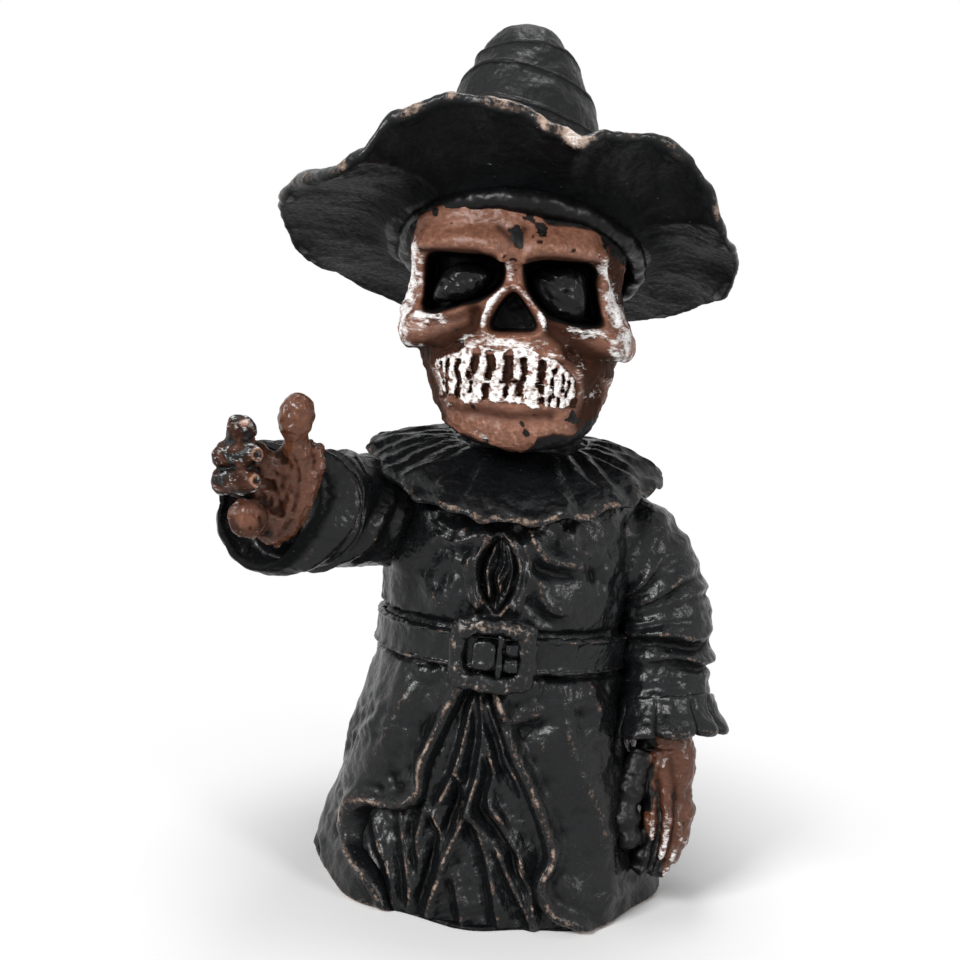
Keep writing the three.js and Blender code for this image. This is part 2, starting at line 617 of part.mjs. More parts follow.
// Hat: one turned profile from the crown's tip over the brim and back under it, then waved and tilted. The
// crown is wrapped in turns, each with a lip that overhangs the next.
const HAT_PROFILE = [
  [0, 1], [0.18, 0.985], [0.3, 0.945], [0.4, 0.885], [0.48, 0.845], [0.45, 0.815], [0.53, 0.74],
  [0.615, 0.675], [0.57, 0.645], [0.66, 0.55], [0.75, 0.46], [0.7, 0.43], [0.78, 0.34],
  [0.865, 0.265], [0.825, 0.235], [0.9, 0.15], [1, 0.07],
].map(([radius, height]) => new THREE.Vector2(radius * CROWN_RADIUS, height * CROWN_HEIGHT));
const brimPoint = (part, height) => new THREE.Vector2(lerp(CROWN_RADIUS, BRIM_RADIUS, part), height);
HAT_PROFILE.push(
  brimPoint(0.16, BRIM_THICKNESS * 0.55), brimPoint(0.5, BRIM_THICKNESS * 0.35),
  brimPoint(0.94, BRIM_THICKNESS * 0.5), brimPoint(1, 0), brimPoint(0.94, -BRIM_THICKNESS * 0.5),
  brimPoint(0.5, -BRIM_THICKNESS * 0.75), brimPoint(0.22, -BRIM_THICKNESS * 1.3),
  brimPoint(0.11, -BRIM_THICKNESS * 2), new THREE.Vector2(0, -BRIM_THICKNESS * 2.2),
);
const BRIM_LIFT = [
  [-180, -0.5], [-141, -0.6], [-124, -0.46], [-105, -0.94], [-85, -0.6], [-60, -1.2], [-38, -2], [-30, -1.5],
  [-22, 0.14], [-9, 1], [5, 0.6], [14, -0.2], [19.5, -0.58], [26, 0.24], [38, 0.88], [47, 0.8], [56, 0.1],
  [63, -1.2], [70, -1.5], [85, -1], [100, -1.34], [119, -0.8], [140, -0.48], [180, -0.5],
];

// From the hat's frame, with its front along -Y and its crown along +Z, to the figure's
const hatZ = chinZ + HAT_SEAT_SHARE * SKULL_HEIGHT;
function hatPlace(p) {
  const angle = Math.atan2(p.x, -p.y);
  const radius = Math.hypot(p.x, p.y);
  const reach = clamp((radius - CROWN_RADIUS) / (BRIM_RADIUS - CROWN_RADIUS), 0, 1);
  const lift = BRIM_WAVE * easedBetween(BRIM_LIFT, angle * 180 / Math.PI) * reach ** 1.6;
  const crown = clamp(p.z / CROWN_HEIGHT, 0, 1);
  const slant = CROWN_SLANT * Math.cos(angle + 0.6) * Math.sin(Math.PI * crown);
  const x = p.x - 0.05 * BRIM_RADIUS * reach - 0.06 * CROWN_HEIGHT * crown;
  const y = p.y - 0.126 * CROWN_HEIGHT * crown * crown;
  const turned = vec(x, y, p.z + lift + slant).applyAxisAngle(vec(1, 0, 0), -HAT_TILT);
  return vec(HAT_X + turned.x, turned.y, hatZ + turned.z);
}
const hatBody = solid(deform(new THREE.LatheGeometry(HAT_PROFILE, 38), (p) => hatPlace(vec(p.x, -p.z, p.y))));

// Roll of the hat's inner edge round the forehead
const bandSolid = (grow) => {
  const geometry = new THREE.TorusGeometry(2, 1, 6, 30);
  return solid(deform(geometry, (p) => {
    const angle = Math.atan2(p.x, -p.y);
    const out = (Math.hypot(p.x, p.y) - 2) * (BAND_RADIUS + grow);
    const x = (SKULL_HALF_WIDTH * 1.05 + out) * Math.sin(angle) + SKULL_HALF_WIDTH * 0.055;
    const y = -(SKULL_HALF_WIDTH * 1.18 + out) * Math.cos(angle) - SKULL_HALF_WIDTH * 0.035;
    const turned = vec(x, y, p.z * (BAND_RADIUS + grow) - BRIM_THICKNESS * 2.4);
    turned.applyAxisAngle(vec(1, 0, 0), -HAT_TILT);
    return vec(HAT_X + turned.x, turned.y, hatZ + turned.z);
  }));
};
const band = bandSolid(0).subtract(skullGrown);
const hat = hatBody.subtract(skullGrown).subtract(bandSolid(GAP).hull());

// Right arm: a sleeve that reaches forward, a flared cuff and the open hand
const rightShoulder = vec(-CHEST_HALF_WIDTH * 0.638, -CHEST_HALF_DEPTH * 0.055, coatRise(0.596));
const rightReach = (out, ahead, rise) => rightShoulder.clone().add(
  vec(-out * RIGHT_ARM_OUT, -ahead * RIGHT_ARM_AHEAD, rise * RIGHT_ARM_RISE),
);
const rightPath = [
  rightReach(0, 0, 0), rightReach(0.545, 0.318, 0.25), rightReach(0.909, 0.727, 0.667), rightReach(1, 1, 1),
];
const rightRadius = (t, angle) => SLEEVE_RADIUS
  * (1.08 - 0.13 * t + 0.02 * Math.cos(9 * t + 2 * angle));
const rightSleeveBody = sweep(rightPath, rightRadius, vec(0, 0, 1), 18, 12);
const rightPeg = (grow) => rod(
  rightReach(0.727, 0.5, 0.417),
  rightShoulder.clone().add(vec(SLEEVE_RADIUS * 0.43, SLEEVE_RADIUS * 0.43, 0)),
  PEG_RADIUS + grow, 12,
);
const rightWrist = rightPath[3];
const rightAim = rightPath[3].clone().sub(rightPath[2]).normalize();
const rightHandPeg = (grow) => rod(
  rightWrist.clone().addScaledVector(rightAim, PEG_DEPTH * 0.75),
  rightWrist.clone().addScaledVector(rightAim, -PEG_DEPTH - grow),
  HAND_PEG_RADIUS + grow, 12,
);

// A cuff turned round an axis from a closed profile of [radius, along] rows, with gathers. Its lip is
// narrowed and moved aside.
function cuffSolid(profile, gathers, depth, centre, aim, [narrow, aside]) {
  const rows = profile.map(([radius, along]) => new THREE.Vector2(radius, along));
  const geometry = new THREE.LatheGeometry([...rows, rows[0]], 24);
  const turn = new THREE.Quaternion().setFromUnitVectors(vec(0, 1, 0), aim);
  const reach = Math.max(...profile.map(([, along]) => along));
  return solid(deform(geometry, (p) => {
    const angle = Math.atan2(p.x, p.z);
    const radius = Math.hypot(p.x, p.z);
    const lip = clamp(p.y / reach, 0, 1);
    const out = radius + depth * lip * Math.cos(gathers * angle);
    const place = vec(out * Math.sin(angle), p.y, out * Math.cos(angle)).applyQuaternion(turn);
    place.x = lerp(place.x, place.x * narrow - aside, lip);
    return place.add(centre);
  }));
}
const cuffInner = SLEEVE_RADIUS * 0.82;
const rightLip = [0.8, CUFF_LIP_ASIDE];
const leftLip = [1, 0];
const rightCuffBody = cuffSolid([
  [cuffInner, -CUFF_LENGTH / 2], [SLEEVE_RADIUS * 0.94 + CUFF_THICKNESS, -CUFF_LENGTH / 2],
  [SLEEVE_RADIUS * 0.96 + CUFF_THICKNESS, 0], [SLEEVE_RADIUS + CUFF_THICKNESS, CUFF_LENGTH / 2],
  [SLEEVE_RADIUS, CUFF_LENGTH * 0.53], [SLEEVE_RADIUS * 0.92, CUFF_LENGTH * 0.17],
  [cuffInner, GAP * 2],
], 6, CUFF_THICKNESS * 0.2, rightWrist, rightAim, rightLip);

// A finger: a tube that narrows and rounds off at its tip
const finger = (points, radius) => sweep(
  points,
  (t) => radius * (1.06 - 0.16 * t) * (t > 0.86 ? Math.sqrt(1 - ((t - 0.86) / 0.155) ** 2) : 1),
  vec(0.3, 0.2, 1), 7, 6,
);
const palm = (centre, half, turn) => {
  const geometry = new THREE.SphereGeometry(1, 12, 8);
  return solid(deform(geometry, (p) => vec(
    signedPower(p.x, 0.85) * half.x, signedPower(p.y, 0.85) * half.y, signedPower(p.z, 0.85) * half.z,
  ).applyEuler(turn).add(centre)));
};
// A hand: the palm and its fingers, each a width and its points from the wrist as shares of the palm's length
function handSolid(wrist, size, palmCentre, palmHalf, turn, fingers) {
  const at = (point) => wrist.clone().addScaledVector(vec(...point), size);
  let body = palm(at(palmCentre), vec(...palmHalf).multiplyScalar(size), turn);
  for (const [width, ...points] of fingers) body = body.add(finger(points.map(at), FINGER_RADIUS * width));
  return body;
}
// The right hand: thumb, four curled fingers, and the ridge that runs down the side of the palm to a point
const rightHandBody = handSolid(
  rightWrist, RIGHT_PALM, [0.01, -0.339, 0.194], [0.219, 0.145, 0.435], new THREE.Euler(0, 0.35, 0.1), [
    [1.12, [0.142, -0.355, 0.323], [0.1, -0.435, 0.532], [0.094, -0.5, 0.71], [0.116, -0.532, 0.932]],
    [0.92, [-0.016, -0.387, 0.355], [-0.21, -0.484, 0.46], [-0.284, -0.645, 0.6], [-0.21, -0.79, 0.755]],
    [0.82, [-0.016, -0.387, 0.29], [-0.29, -0.484, 0.403], [-0.358, -0.694, 0.484], [-0.068, -0.871, 0.535]],
    [0.82, [-0.016, -0.387, 0.145], [-0.29, -0.468, 0.226], [-0.358, -0.694, 0.29], [-0.061, -0.871, 0.348]],
    [1.2, [-0.016, -0.355, 0], [-0.161, -0.452, 0], [-0.19, -0.645, 0.019], [-0.152, -0.79, 0.065]],
    [0.5, [0.21, -0.355, 0.581], [0.248, -0.355, 0.452], [0.152, -0.355, 0.145], [-0.081, -0.274, -0.274]],
  ],
);

// Left arm: a hanging sleeve with two rolls, a gathered frill and the hanging hand
const leftShoulder = vec(CHEST_HALF_WIDTH * 0.609, 0, coatRise(0.558));
const leftArmOut = coatRow(leftShoulder.z - LEFT_ARM_DROP).x + SLEEVE_RADIUS * 0.6 - leftShoulder.x;
const leftReach = (out, ahead, drop) => leftShoulder.clone().add(
  vec(out * leftArmOut, -ahead * LEFT_ARM_AHEAD, -drop * LEFT_ARM_DROP),
);
const leftPath = [
  leftReach(0, 0, 0), leftReach(0.53, 0.18, 0.09), leftReach(0.837, 0.364, 0.378),
  leftReach(0.918, 0.682, 0.733), leftReach(1, 1, 1),
];
const leftRadius = (t, angle) => SLEEVE_RADIUS * (1.02 - 0.2 * t)
  * (1 + 0.1 * bump(t, 0.6, 0.045) + 0.1 * bump(t, 0.71, 0.045) + 0.015 * Math.cos(20 * t + 2 * angle));
const leftSleeveBody = sweep(leftPath, leftRadius, vec(0, 1, 0), 16, 16);
const leftPeg = (grow) => rod(
  leftReach(0.816, 0.27, 0.156),
  leftShoulder.clone().add(vec(-SLEEVE_RADIUS * 0.5, SLEEVE_RADIUS * 0.07, SLEEVE_RADIUS * 0.07)),
  PEG_RADIUS + grow, 12,
);
const leftWrist = leftPath[4];
const leftAim = leftPath[4].clone().sub(leftPath[3]).normalize();
const leftHandPeg = (grow) => rod(
  leftWrist.clone().addScaledVector(leftAim, PEG_DEPTH * 0.75),
  leftWrist.clone().addScaledVector(leftAim, -PEG_DEPTH - grow),
  HAND_PEG_RADIUS + grow, 12,
);
const leftCuffBody = cuffSolid([
  [SLEEVE_RADIUS * 0.7, -FRILL_LENGTH * 0.55], [SLEEVE_RADIUS * 0.82 + CUFF_THICKNESS, -FRILL_LENGTH * 0.55],
  [SLEEVE_RADIUS * 0.86 + CUFF_THICKNESS, -FRILL_LENGTH * 0.11],
  [SLEEVE_RADIUS * 0.95 + CUFF_THICKNESS, FRILL_LENGTH * 0.44], [SLEEVE_RADIUS * 0.95, FRILL_LENGTH * 0.51],
  [SLEEVE_RADIUS * 0.82, FRILL_LENGTH * 0.16], [SLEEVE_RADIUS * 0.7, GAP * 2],
], 6, CUFF_THICKNESS * 0.375, leftWrist, leftAim, leftLip);
const leftHandBody = handSolid(
  leftWrist, LEFT_PALM, [0.021, -0.146, -0.542], [0.358, 0.233, 0.5], new THREE.Euler(-0.15, 0.1, -0.35), [
    [0.9, [0.188, -0.167, -0.708], [0.25, -0.25, -1.042], [0.188, -0.333, -1.333], [0.042, -0.396, -1.542]],
    [0.95, [0.06, -0.21, -0.75], [0.104, -0.333, -1.125], [0.042, -0.417, -1.458], [-0.04, -0.46, -1.667]],
    [0.9, [-0.063, -0.25, -0.75], [-0.063, -0.375, -1.125], [-0.104, -0.458, -1.458], [-0.146, -0.5, -1.646]],
    [0.95, [-0.146, -0.292, -0.708], [-0.229, -0.458, -1], [-0.25, -0.563, -1.292], [-0.229, -0.583, -1.479]],
  ],
);

// Cuts that let the pieces meet with a clear joint
const rightSleeve = largest(rightSleeveBody.subtract(coatGrown).subtract(collarGrown)).add(rightPeg(0))
  .subtract(rightHandPeg(GAP));
const leftSleeve = largest(leftSleeveBody.subtract(coatGrown).subtract(collarGrown).subtract(beltGrown))
  .add(leftPeg(0)).subtract(leftHandPeg(GAP));
const rightSleeveGrown = sweep(rightPath, (t, angle) => rightRadius(t, angle) + GAP, vec(0, 0, 1), 18, 12);
const leftSleeveGrown = sweep(leftPath, (t, angle) => leftRadius(t, angle) + GAP, vec(0, 1, 0), 16, 16);
const sleeveEnd = (wrist, aim, radius) => rod(
  wrist.clone().addScaledVector(aim, -radius), wrist.clone().addScaledVector(aim, GAP), radius, 24,
);
const rightEnd = sleeveEnd(rightWrist, rightAim, SLEEVE_RADIUS);
const leftEnd = sleeveEnd(leftWrist, leftAim, SLEEVE_RADIUS * 0.84);
const rightCuff = rightCuffBody.subtract(rightSleeveGrown).subtract(coatGrown);
const leftCuff = leftCuffBody.subtract(leftSleeveGrown).subtract(coatGrown);
const handRoom = (profile, centre, aim, lip) => cuffSolid(profile, 1, 0, centre, aim, lip);
const rightHand = largest(rightHandBody.subtract(rightEnd).subtract(handRoom([
  [SLEEVE_RADIUS * 0.6, -CUFF_LENGTH * 0.75], [SLEEVE_RADIUS * 2, -CUFF_LENGTH * 0.75],
  [SLEEVE_RADIUS * 2, CUFF_LENGTH * 0.53 + GAP], [SLEEVE_RADIUS * 0.97 - GAP, CUFF_LENGTH * 0.53 + GAP],
  [SLEEVE_RADIUS * 0.89 - GAP, CUFF_LENGTH * 0.17], [SLEEVE_RADIUS * 0.79 - GAP, GAP],
], rightWrist, rightAim, rightLip))).add(rightHandPeg(0));
const leftHand = largest(leftHandBody.subtract(leftEnd).subtract(coatGrown).subtract(handRoom([
  [SLEEVE_RADIUS * 0.5, -FRILL_LENGTH], [SLEEVE_RADIUS * 2, -FRILL_LENGTH],
  [SLEEVE_RADIUS * 2, FRILL_LENGTH * 0.51 + GAP], [SLEEVE_RADIUS * 0.92 - GAP, FRILL_LENGTH * 0.51 + GAP],
  [SLEEVE_RADIUS * 0.78 - GAP, FRILL_LENGTH * 0.16], [SLEEVE_RADIUS * 0.66 - GAP, GAP],
], leftWrist, leftAim, leftLip))).add(leftHandPeg(0));
const coat = coatSolid(0).add(weltRing).subtract(underskirtRecess).subtract(slitRecess).subtract(neckPeg(GAP))
  .subtract(rightPeg(GAP)).subtract(leftPeg(GAP)).subtract(collarGrown);
const upperTeeth = teethRow(UPPER_TEETH_SHARE);
const lowerTeeth = teethRow(LOWER_TEETH_SHARE);
const skull = skullSolid(0).subtract(leftSocket).subtract(rightSocket).subtract(noseHole)
  .subtract(eyeSolid(1, GAP)).subtract(eyeSolid(-1, GAP)).subtract(neckPeg(GAP))
  .subtract(toothSlot(UPPER_TEETH_SHARE)).subtract(toothSlot(LOWER_TEETH_SHARE));

// The figure as one tree: the coat with what is fixed to it, the head, and the two arms
const figure = new THREE.Group();
figure.name = 'skeleton_figure';
const trunk = new THREE.Group();
trunk.add(
  piece('coat_body', coat, blackPaint),
  piece('underskirt', underskirtPanel, darkPaint),
  piece('shirt_front', shirtPanel, darkPaint),
  piece('belt', belt, darkPaint),
  piece('belt_tip', beltTip.subtract(beltSeat), bronzePaint),
  piece('buckle_frame', buckleFrame, bronzePaint),
  piece('buckle_prong', buckleProng.subtract(beltSeat), bronzePaint),
  piece('ruff_collar', collar, blackPaint),
  piece('neck', neck, darkPaint),
);
const head = new THREE.Group();
head.add(
  piece('skull', skull, copperPaint),
  piece('upper_teeth', upperTeeth, whitePaint),
  piece('lower_teeth', lowerTeeth, whitePaint),
  piece('left_eye', eyeSolid(1, 0), glossPaint),
  piece('right_eye', eyeSolid(-1, 0), glossPaint),
  piece('hat_band', band, glossPaint),
  piece('hat', hat, blackPaint),
);
const rightArm = new THREE.Group();
rightArm.add(
  piece('right_sleeve', rightSleeve, blackPaint),
  piece('right_cuff', rightCuff, blackPaint),
  piece('right_hand', rightHand, copperPaint),
);
const leftArm = new THREE.Group();
leftArm.add(
  piece('left_sleeve', leftSleeve, blackPaint),
  piece('left_cuff', leftCuff, blackPaint),
  piece('left_hand', leftHand, copperPaint),
);
figure.add(trunk, head, rightArm, leftArm);

export default figure;
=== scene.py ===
import bmesh
import bpy
import numpy as np
from mathutils import Matrix, Vector


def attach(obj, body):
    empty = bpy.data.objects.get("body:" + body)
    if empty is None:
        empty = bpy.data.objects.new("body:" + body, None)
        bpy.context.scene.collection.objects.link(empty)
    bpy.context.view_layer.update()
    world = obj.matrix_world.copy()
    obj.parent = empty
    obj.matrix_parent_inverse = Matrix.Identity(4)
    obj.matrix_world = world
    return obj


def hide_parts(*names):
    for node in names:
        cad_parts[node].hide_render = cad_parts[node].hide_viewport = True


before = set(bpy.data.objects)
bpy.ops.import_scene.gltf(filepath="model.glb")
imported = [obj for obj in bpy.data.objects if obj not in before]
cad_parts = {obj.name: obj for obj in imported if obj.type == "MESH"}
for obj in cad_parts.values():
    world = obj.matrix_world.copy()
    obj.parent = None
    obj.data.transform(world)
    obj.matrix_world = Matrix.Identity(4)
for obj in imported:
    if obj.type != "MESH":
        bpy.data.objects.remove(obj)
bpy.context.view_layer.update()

# Coat
# The body of the figure is one poured resin casting, taken from a clay original whose folds were pressed
# in with a modelling tool. It stands on its own flat base, and every other casting is glued to it.
# All sizes are in millimetres, and the figure faces -Y as the solids do.
COAT_ROWS = [
    (48, 46, 0), (46.6, 45.1, 7.9), (41.8, 42.3, 23.1), (39.1, 40.7, 39.6), (36, 37.2, 54.8),
    (33, 36.5, 66), (33.8, 36.4, 75.4), (34.5, 36, 85.8), (34, 34.2, 96.2), (32.1, 29.5, 105),
    (27.6, 24.8, 110.7), (22.4, 20.9, 114.9), (18, 18, 118),
]
WAIST = 66
SQUARENESS = 2.2
HEM_FOLDS = 9
HEM_FOLD_DEPTH = 1.2
BELT_SLOPE = 0.1104
OPENING_RIGHT = [(-4, 63), (-9, 52), (-13.5, 39), (-14.5, 30.5), (-18, 26.5), (-25, 24.5), (-30, 23.3),
                 (-33, 18), (-32.5, 13), (-27, 9.5), (-22.5, 4.5), (-20, -1)]
OPENING_LEFT = [(0, 62), (3, 53.5), (7.5, 43.5), (11.5, 36), (14.5, 29.5), (17.5, 22), (18.3, 18),
                (16.3, 13.5), (17, 8.5), (20.5, 4), (27, 1), (29, -1)]
SLIT_RIGHT = [(-0.8, 99), (-4.6, 94), (-5.2, 89), (-3.8, 84), (0, 79.5)]
SLIT_LEFT = [(0.4, 99), (4, 94.5), (5.2, 90), (4.2, 84.5), (1, 79.5)]
OPENING_DEPTH = 6.5
ROLLED_EDGE = 1.9
SLIT_DEPTH = 5.0
BELT_GROOVE = 1.1
BACK_DRAPE_DEPTH = 2
# Each fold is a bent line over (x, z), its height and its half-width; its gentle side lies to the right of
# a line that runs down. The first two are the long ridges that fall from the belt.
COAT_FOLDS = [
    ([(-36, 7.9), (-34.1, 23.8), (-28.8, 36.3), (-24.5, 45.5), (-20.6, 53.5), (-17.3, 66)], 2.4, 4.2),
    ([(15.4, 66), (18.7, 56.8), (20.2, 49.5), (24, 42.2), (27.4, 34.3), (30.7, 25.1), (32.6, 7.9)], 2.4, 4.2),
    ([(-38, 22), (-40.6, 13.5), (-41.6, 5.4)], 0.9, 3.0),
    ([(-9, 66), (-12.5, 57), (-15, 51)], 1.1, 2.2),
    ([(21, 70), (25.5, 57.5), (27.1, 53.2), (27.5, 46)], 1.3, 2.2),
    ([(1.5, 60), (4.5, 54.6), (8, 53), (12, 54.2), (15, 57)], 1.4, 1.8),
    ([(6.3, 61.6), (10.8, 56.7), (14, 50.3), (16.4, 42.2)], 0.8, 2.6),
    ([(31, 26), (36, 14), (36, 3)], 1.0, 2.8),
    ([(-19, 95), (-14.9, 96.8), (-10.4, 96.3), (-5.4, 98.1), (-1.4, 100.3)], 2.0, 1.5),
    ([(-17.5, 100.5), (-15.4, 99.8), (-11.5, 98.8), (-7.3, 100)], 1.2, 1.2),
    ([(-31, 96.5), (-28, 93), (-27.1, 90), (-27.7, 84)], 1.5, 2.0),
    ([(6, 102.5), (6.8, 100.4), (9, 96.2), (12.5, 93.6), (18.2, 92.8), (24, 91)], 2.4, 1.7),
    ([(14.5, 103), (16.5, 99), (19, 96.4), (24, 95)], 1.5, 1.6),
    ([(9.6, 91.5), (10.4, 88), (11.4, 84.5), (14.4, 81.8), (19, 81.5)], 1.9, 1.8),
    ([(-20, 88), (-17, 82.5), (-11, 79.5)], 0.6, 2.6),
]
COAT_WELTS = [
    ([(-3.2, 98), (-7, 93.5), (-7.7, 88.5), (-6.6, 83.5), (-4.2, 80.5)], 1.2, 1.3),
    ([(3.4, 98.5), (7.2, 94.5), (8.2, 90), (7.4, 85.5), (4.8, 81.5)], 1.2, 1.3),
]


def through(rows, t):
    """A smooth curve through the rows: a Catmull-Rom spline, t from 0 at the first row to 1 at the last."""
    rows = np.asarray(rows, float)
    place = np.clip(np.asarray(t, float), 0, 1) * (len(rows) - 1)
    step = np.minimum(place.astype(int), len(rows) - 2)
    part = (place - step)[..., None]
    padded = np.vstack([2 * rows[0] - rows[1], rows, 2 * rows[-1] - rows[-2]])
    a, b, c, d = padded[step], padded[step + 1], padded[step + 2], padded[step + 3]
    return b + 0.5 * part * (c - a + part * (2 * a - 5 * b + 4 * c - d + part * (3 * (b - c) + d - a)))


def evenly(rows, count):
    """Places t along the spline through the rows that are the same arc length apart."""
    fine = np.linspace(0, 1, 2000)
    steps = np.linalg.norm(np.diff(through(rows, fine), axis=0), axis=1)
    run = np.concatenate([[0], np.cumsum(steps)])
    return np.interp(np.linspace(0, run[-1], count), run, fine)


def ease(value, low, high):
    """Rises smoothly from 0 at low to 1 at high: 3 s^2 - 2 s^3 of the share s between them."""
    s = np.clip((value - low) / (high - low), 0, 1)
    return s * s * (3 - 2 * s)


def swell(value, centre, spread):
    """A soft bump of height 1 round a centre: e to the minus square of the distance over the spread."""
    return np.exp(-((value - centre) / spread) ** 2)


def waves(points, size, seed, count=28):
    """Random soft unevenness of spread 1: a sum of plane cosine waves about one size long, in random ways."""
    rng = np.random.default_rng(seed)
    ways = rng.normal(size=(count, 3))
    ways *= 2 * np.pi / size * rng.uniform(0.6, 1.5, (count, 1)) / np.linalg.norm(ways, axis=1, keepdims=True)
    shifts = rng.uniform(0, 2 * np.pi, count)
    return np.cos(points @ ways.T + shifts).sum(axis=-1) * np.sqrt(2 / count)


def patches(points, size, seed):
    """How far the paint is rubbed off an edge, from 0.3 to 1, in soft random patches of about one size."""
    return 0.3 + 0.7 * ease(waves(points, size, seed), -0.7, 1.0)


def nearest_on(u, v, path, smooth=True):
    """For places (u, v) and a bent line, rounded by a spline through its points: how far away the line is,
    on which side of it each place lies, as 1 or -1, and how far along it, from 0 to 1."""
    line = np.asarray(path, float)
    if smooth and len(line) > 2:
        line = through(line, np.linspace(0, 1, 4 * len(line)))
    away = np.full(np.shape(u), 1e6)
    side = np.ones(np.shape(u))
    share = np.zeros(np.shape(u))
    for step, (start, end) in enumerate(zip(line[:-1], line[1:])):
        way = end - start
        over = u - start[0]
        up = v - start[1]
        along = np.clip((over * way[0] + up * way[1]) / (way @ way), 0, 1)
        reach = np.hypot(over - along * way[0], up - along * way[1])
        closer = reach < away
        away = np.where(closer, reach, away)
        side = np.where(closer, np.sign(way[0] * up - way[1] * over), side)
        share = np.where(closer, (step + along) / (len(line) - 1), share)
    return away, side, share


def folded(u, v, folds):
    """Height of a set of pressed folds, and how near each place is to a crest. Across a fold the height falls
    gently on one side of its line and steeply on the other into a trough, and it fades out at both ends."""
    lift = np.zeros(np.shape(u))
    crest = np.zeros(np.shape(u))
    for path, height, width in folds:
        away, side, share = nearest_on(u, v, path)
        ends = ease(share, 0, 0.22) * ease(1 - share, 0, 0.22)
        slope = width * np.where(side > 0, 1.5, 0.8)
        trough = swell(side * away, -1.7 * width, 0.95 * width)
        lift += height * ends * (swell(away, 0, slope) - 0.45 * trough)
        crest = np.maximum(crest, ends * swell(away, 0, 0.35 + 0.12 * width))
    return lift, crest


def ridge(u, v, path, height, width):
    """A pressed line: a round crest along it, with a shallower trough on either side."""
    away = nearest_on(u, v, path)[0]
    return height * (1.35 * swell(away, 0, width) - 0.5 * swell(away, 0, 2.3 * width))


def crossing(path, v):
    """The u at which a line that runs down the piece crosses each v."""
    line = through(path, np.linspace(0, 1, 200))
    order = np.argsort(line[:, 1])
    return np.interp(v, line[order, 1], line[order, 0])


def depth_inside(u, v, left, right):
    """How far a place lies inside the opening between two lines; negative outside it."""
    inside = (u > crossing(left, v)) & (u < crossing(right, v))
    inside &= (v < max(left[0][1], right[0][1])) & (v > min(left[-1][1], right[-1][1]))
    away = np.minimum(nearest_on(u, v, left)[0], nearest_on(u, v, right)[0])
    return np.where(inside, away, -away)


def normals_of(grid, ring):
    """Unit normals of a grid: the cross product of its steps along the columns and along the rows."""
    across = np.roll(grid, -1, axis=1) - np.roll(grid, 1, axis=1)
    along = np.roll(grid, -1, axis=0) - np.roll(grid, 1, axis=0)
    if not ring:
        along[0] = grid[1] - grid[0]
        along[-1] = grid[-1] - grid[-2]
    normal = np.cross(across, along)
    return normal / np.maximum(np.linalg.norm(normal, axis=-1, keepdims=True), 1e-9)


def raised(grid, ring, heights):
    """The grid with each place moved out along its normal by its own height."""
    return grid + normals_of(grid, ring) * heights[..., None]


def stands_out(grid, ring, passes):
    """How far each place stands proud of its surroundings, in mm: its offset along the normal from the same
    grid after some passes in which every place moves to the mean of its four neighbours."""
    soft = grid.copy()
    for _ in range(passes):
        up = np.roll(soft, -1, axis=0)
        down = np.roll(soft, 1, axis=0)
        if not ring:
            up[-1] = soft[-1]
            down[0] = soft[0]
        soft = (np.roll(soft, -1, axis=1) + np.roll(soft, 1, axis=1) + up + down) / 4
    return ((grid - soft) * normals_of(grid, ring)).sum(axis=-1)


def mesh_piece(name, points, faces, material, values):
    """A mesh object at the origin from points in mm and lists of faces, turned outward by the sign of its
    volume, with one stored value per point for each name."""
    volume = 0
    for corners in faces:
        a, b, c = points[corners[:, 0]], points[corners[:, 1]], points[corners[:, 2]]
        volume += np.einsum("ij,ij->", a, np.cross(b, c))
        if corners.shape[1] == 4:
            volume += np.einsum("ij,ij->", a, np.cross(c, points[corners[:, 3]]))
    if volume < 0:
        faces = [corners[:, ::-1] for corners in faces]
    sizes = np.concatenate([np.full(len(corners), corners.shape[1]) for corners in faces])
    loops = np.concatenate([corners.ravel() for corners in faces]).astype(np.int32)
    mesh = bpy.data.meshes.new(name)
    mesh.vertices.add(len(points))
    mesh.vertices.foreach_set("co", (points * 0.001).astype(np.float32).ravel())
    mesh.loops.add(len(loops))
    mesh.loops.foreach_set("vertex_index", loops)
    mesh.polygons.add(len(sizes))
    mesh.polygons.foreach_set("loop_start", (np.cumsum(sizes) - sizes).astype(np.int32))
    for key, value in values.items():
        stored = mesh.attributes.new(key, "FLOAT", "POINT")
        stored.data.foreach_set("value", value.astype(np.float32).ravel())
    mesh.update(calc_edges=True)
    mesh.shade_smooth()
    mesh.materials.append(material)
    piece = bpy.data.objects.new(name, mesh)
    bpy.context.scene.collection.objects.link(piece)
    return piece


def grid_piece(name, grid, material, ring=False, **values):
    """A grid whose columns close round the piece. Its rows close too on a ring, and otherwise each end is
    shut by a fan to the end row's middle."""
    rows, columns, _ = grid.shape
    index = np.arange(rows * columns).reshape(rows, columns)
    beside = np.roll(index, -1, axis=1)
    above = np.roll(index, -1, axis=0) if ring else index[1:]
    above_beside = np.roll(beside, -1, axis=0) if ring else beside[1:]
    kept = rows if ring else rows - 1
    quads = np.stack([index[:kept], beside[:kept], above_beside, above], axis=-1).reshape(-1, 4)
    points = grid.reshape(-1, 3)
    flat = {key: value.reshape(-1) for key, value in values.items()}
    faces = [quads]
    if not ring:
        points = np.vstack([points, grid[0].mean(axis=0), grid[-1].mean(axis=0)])
        flat = {key: np.append(v, [v[:columns].mean(), v[-columns:].mean()]) for key, v in flat.items()}
        low = np.full(columns, rows * columns)
        faces.append(np.stack([beside[0], index[0], low], axis=-1))
        faces.append(np.stack([index[-1], beside[-1], low + 1], axis=-1))
    return mesh_piece(name, points, faces, material, flat)


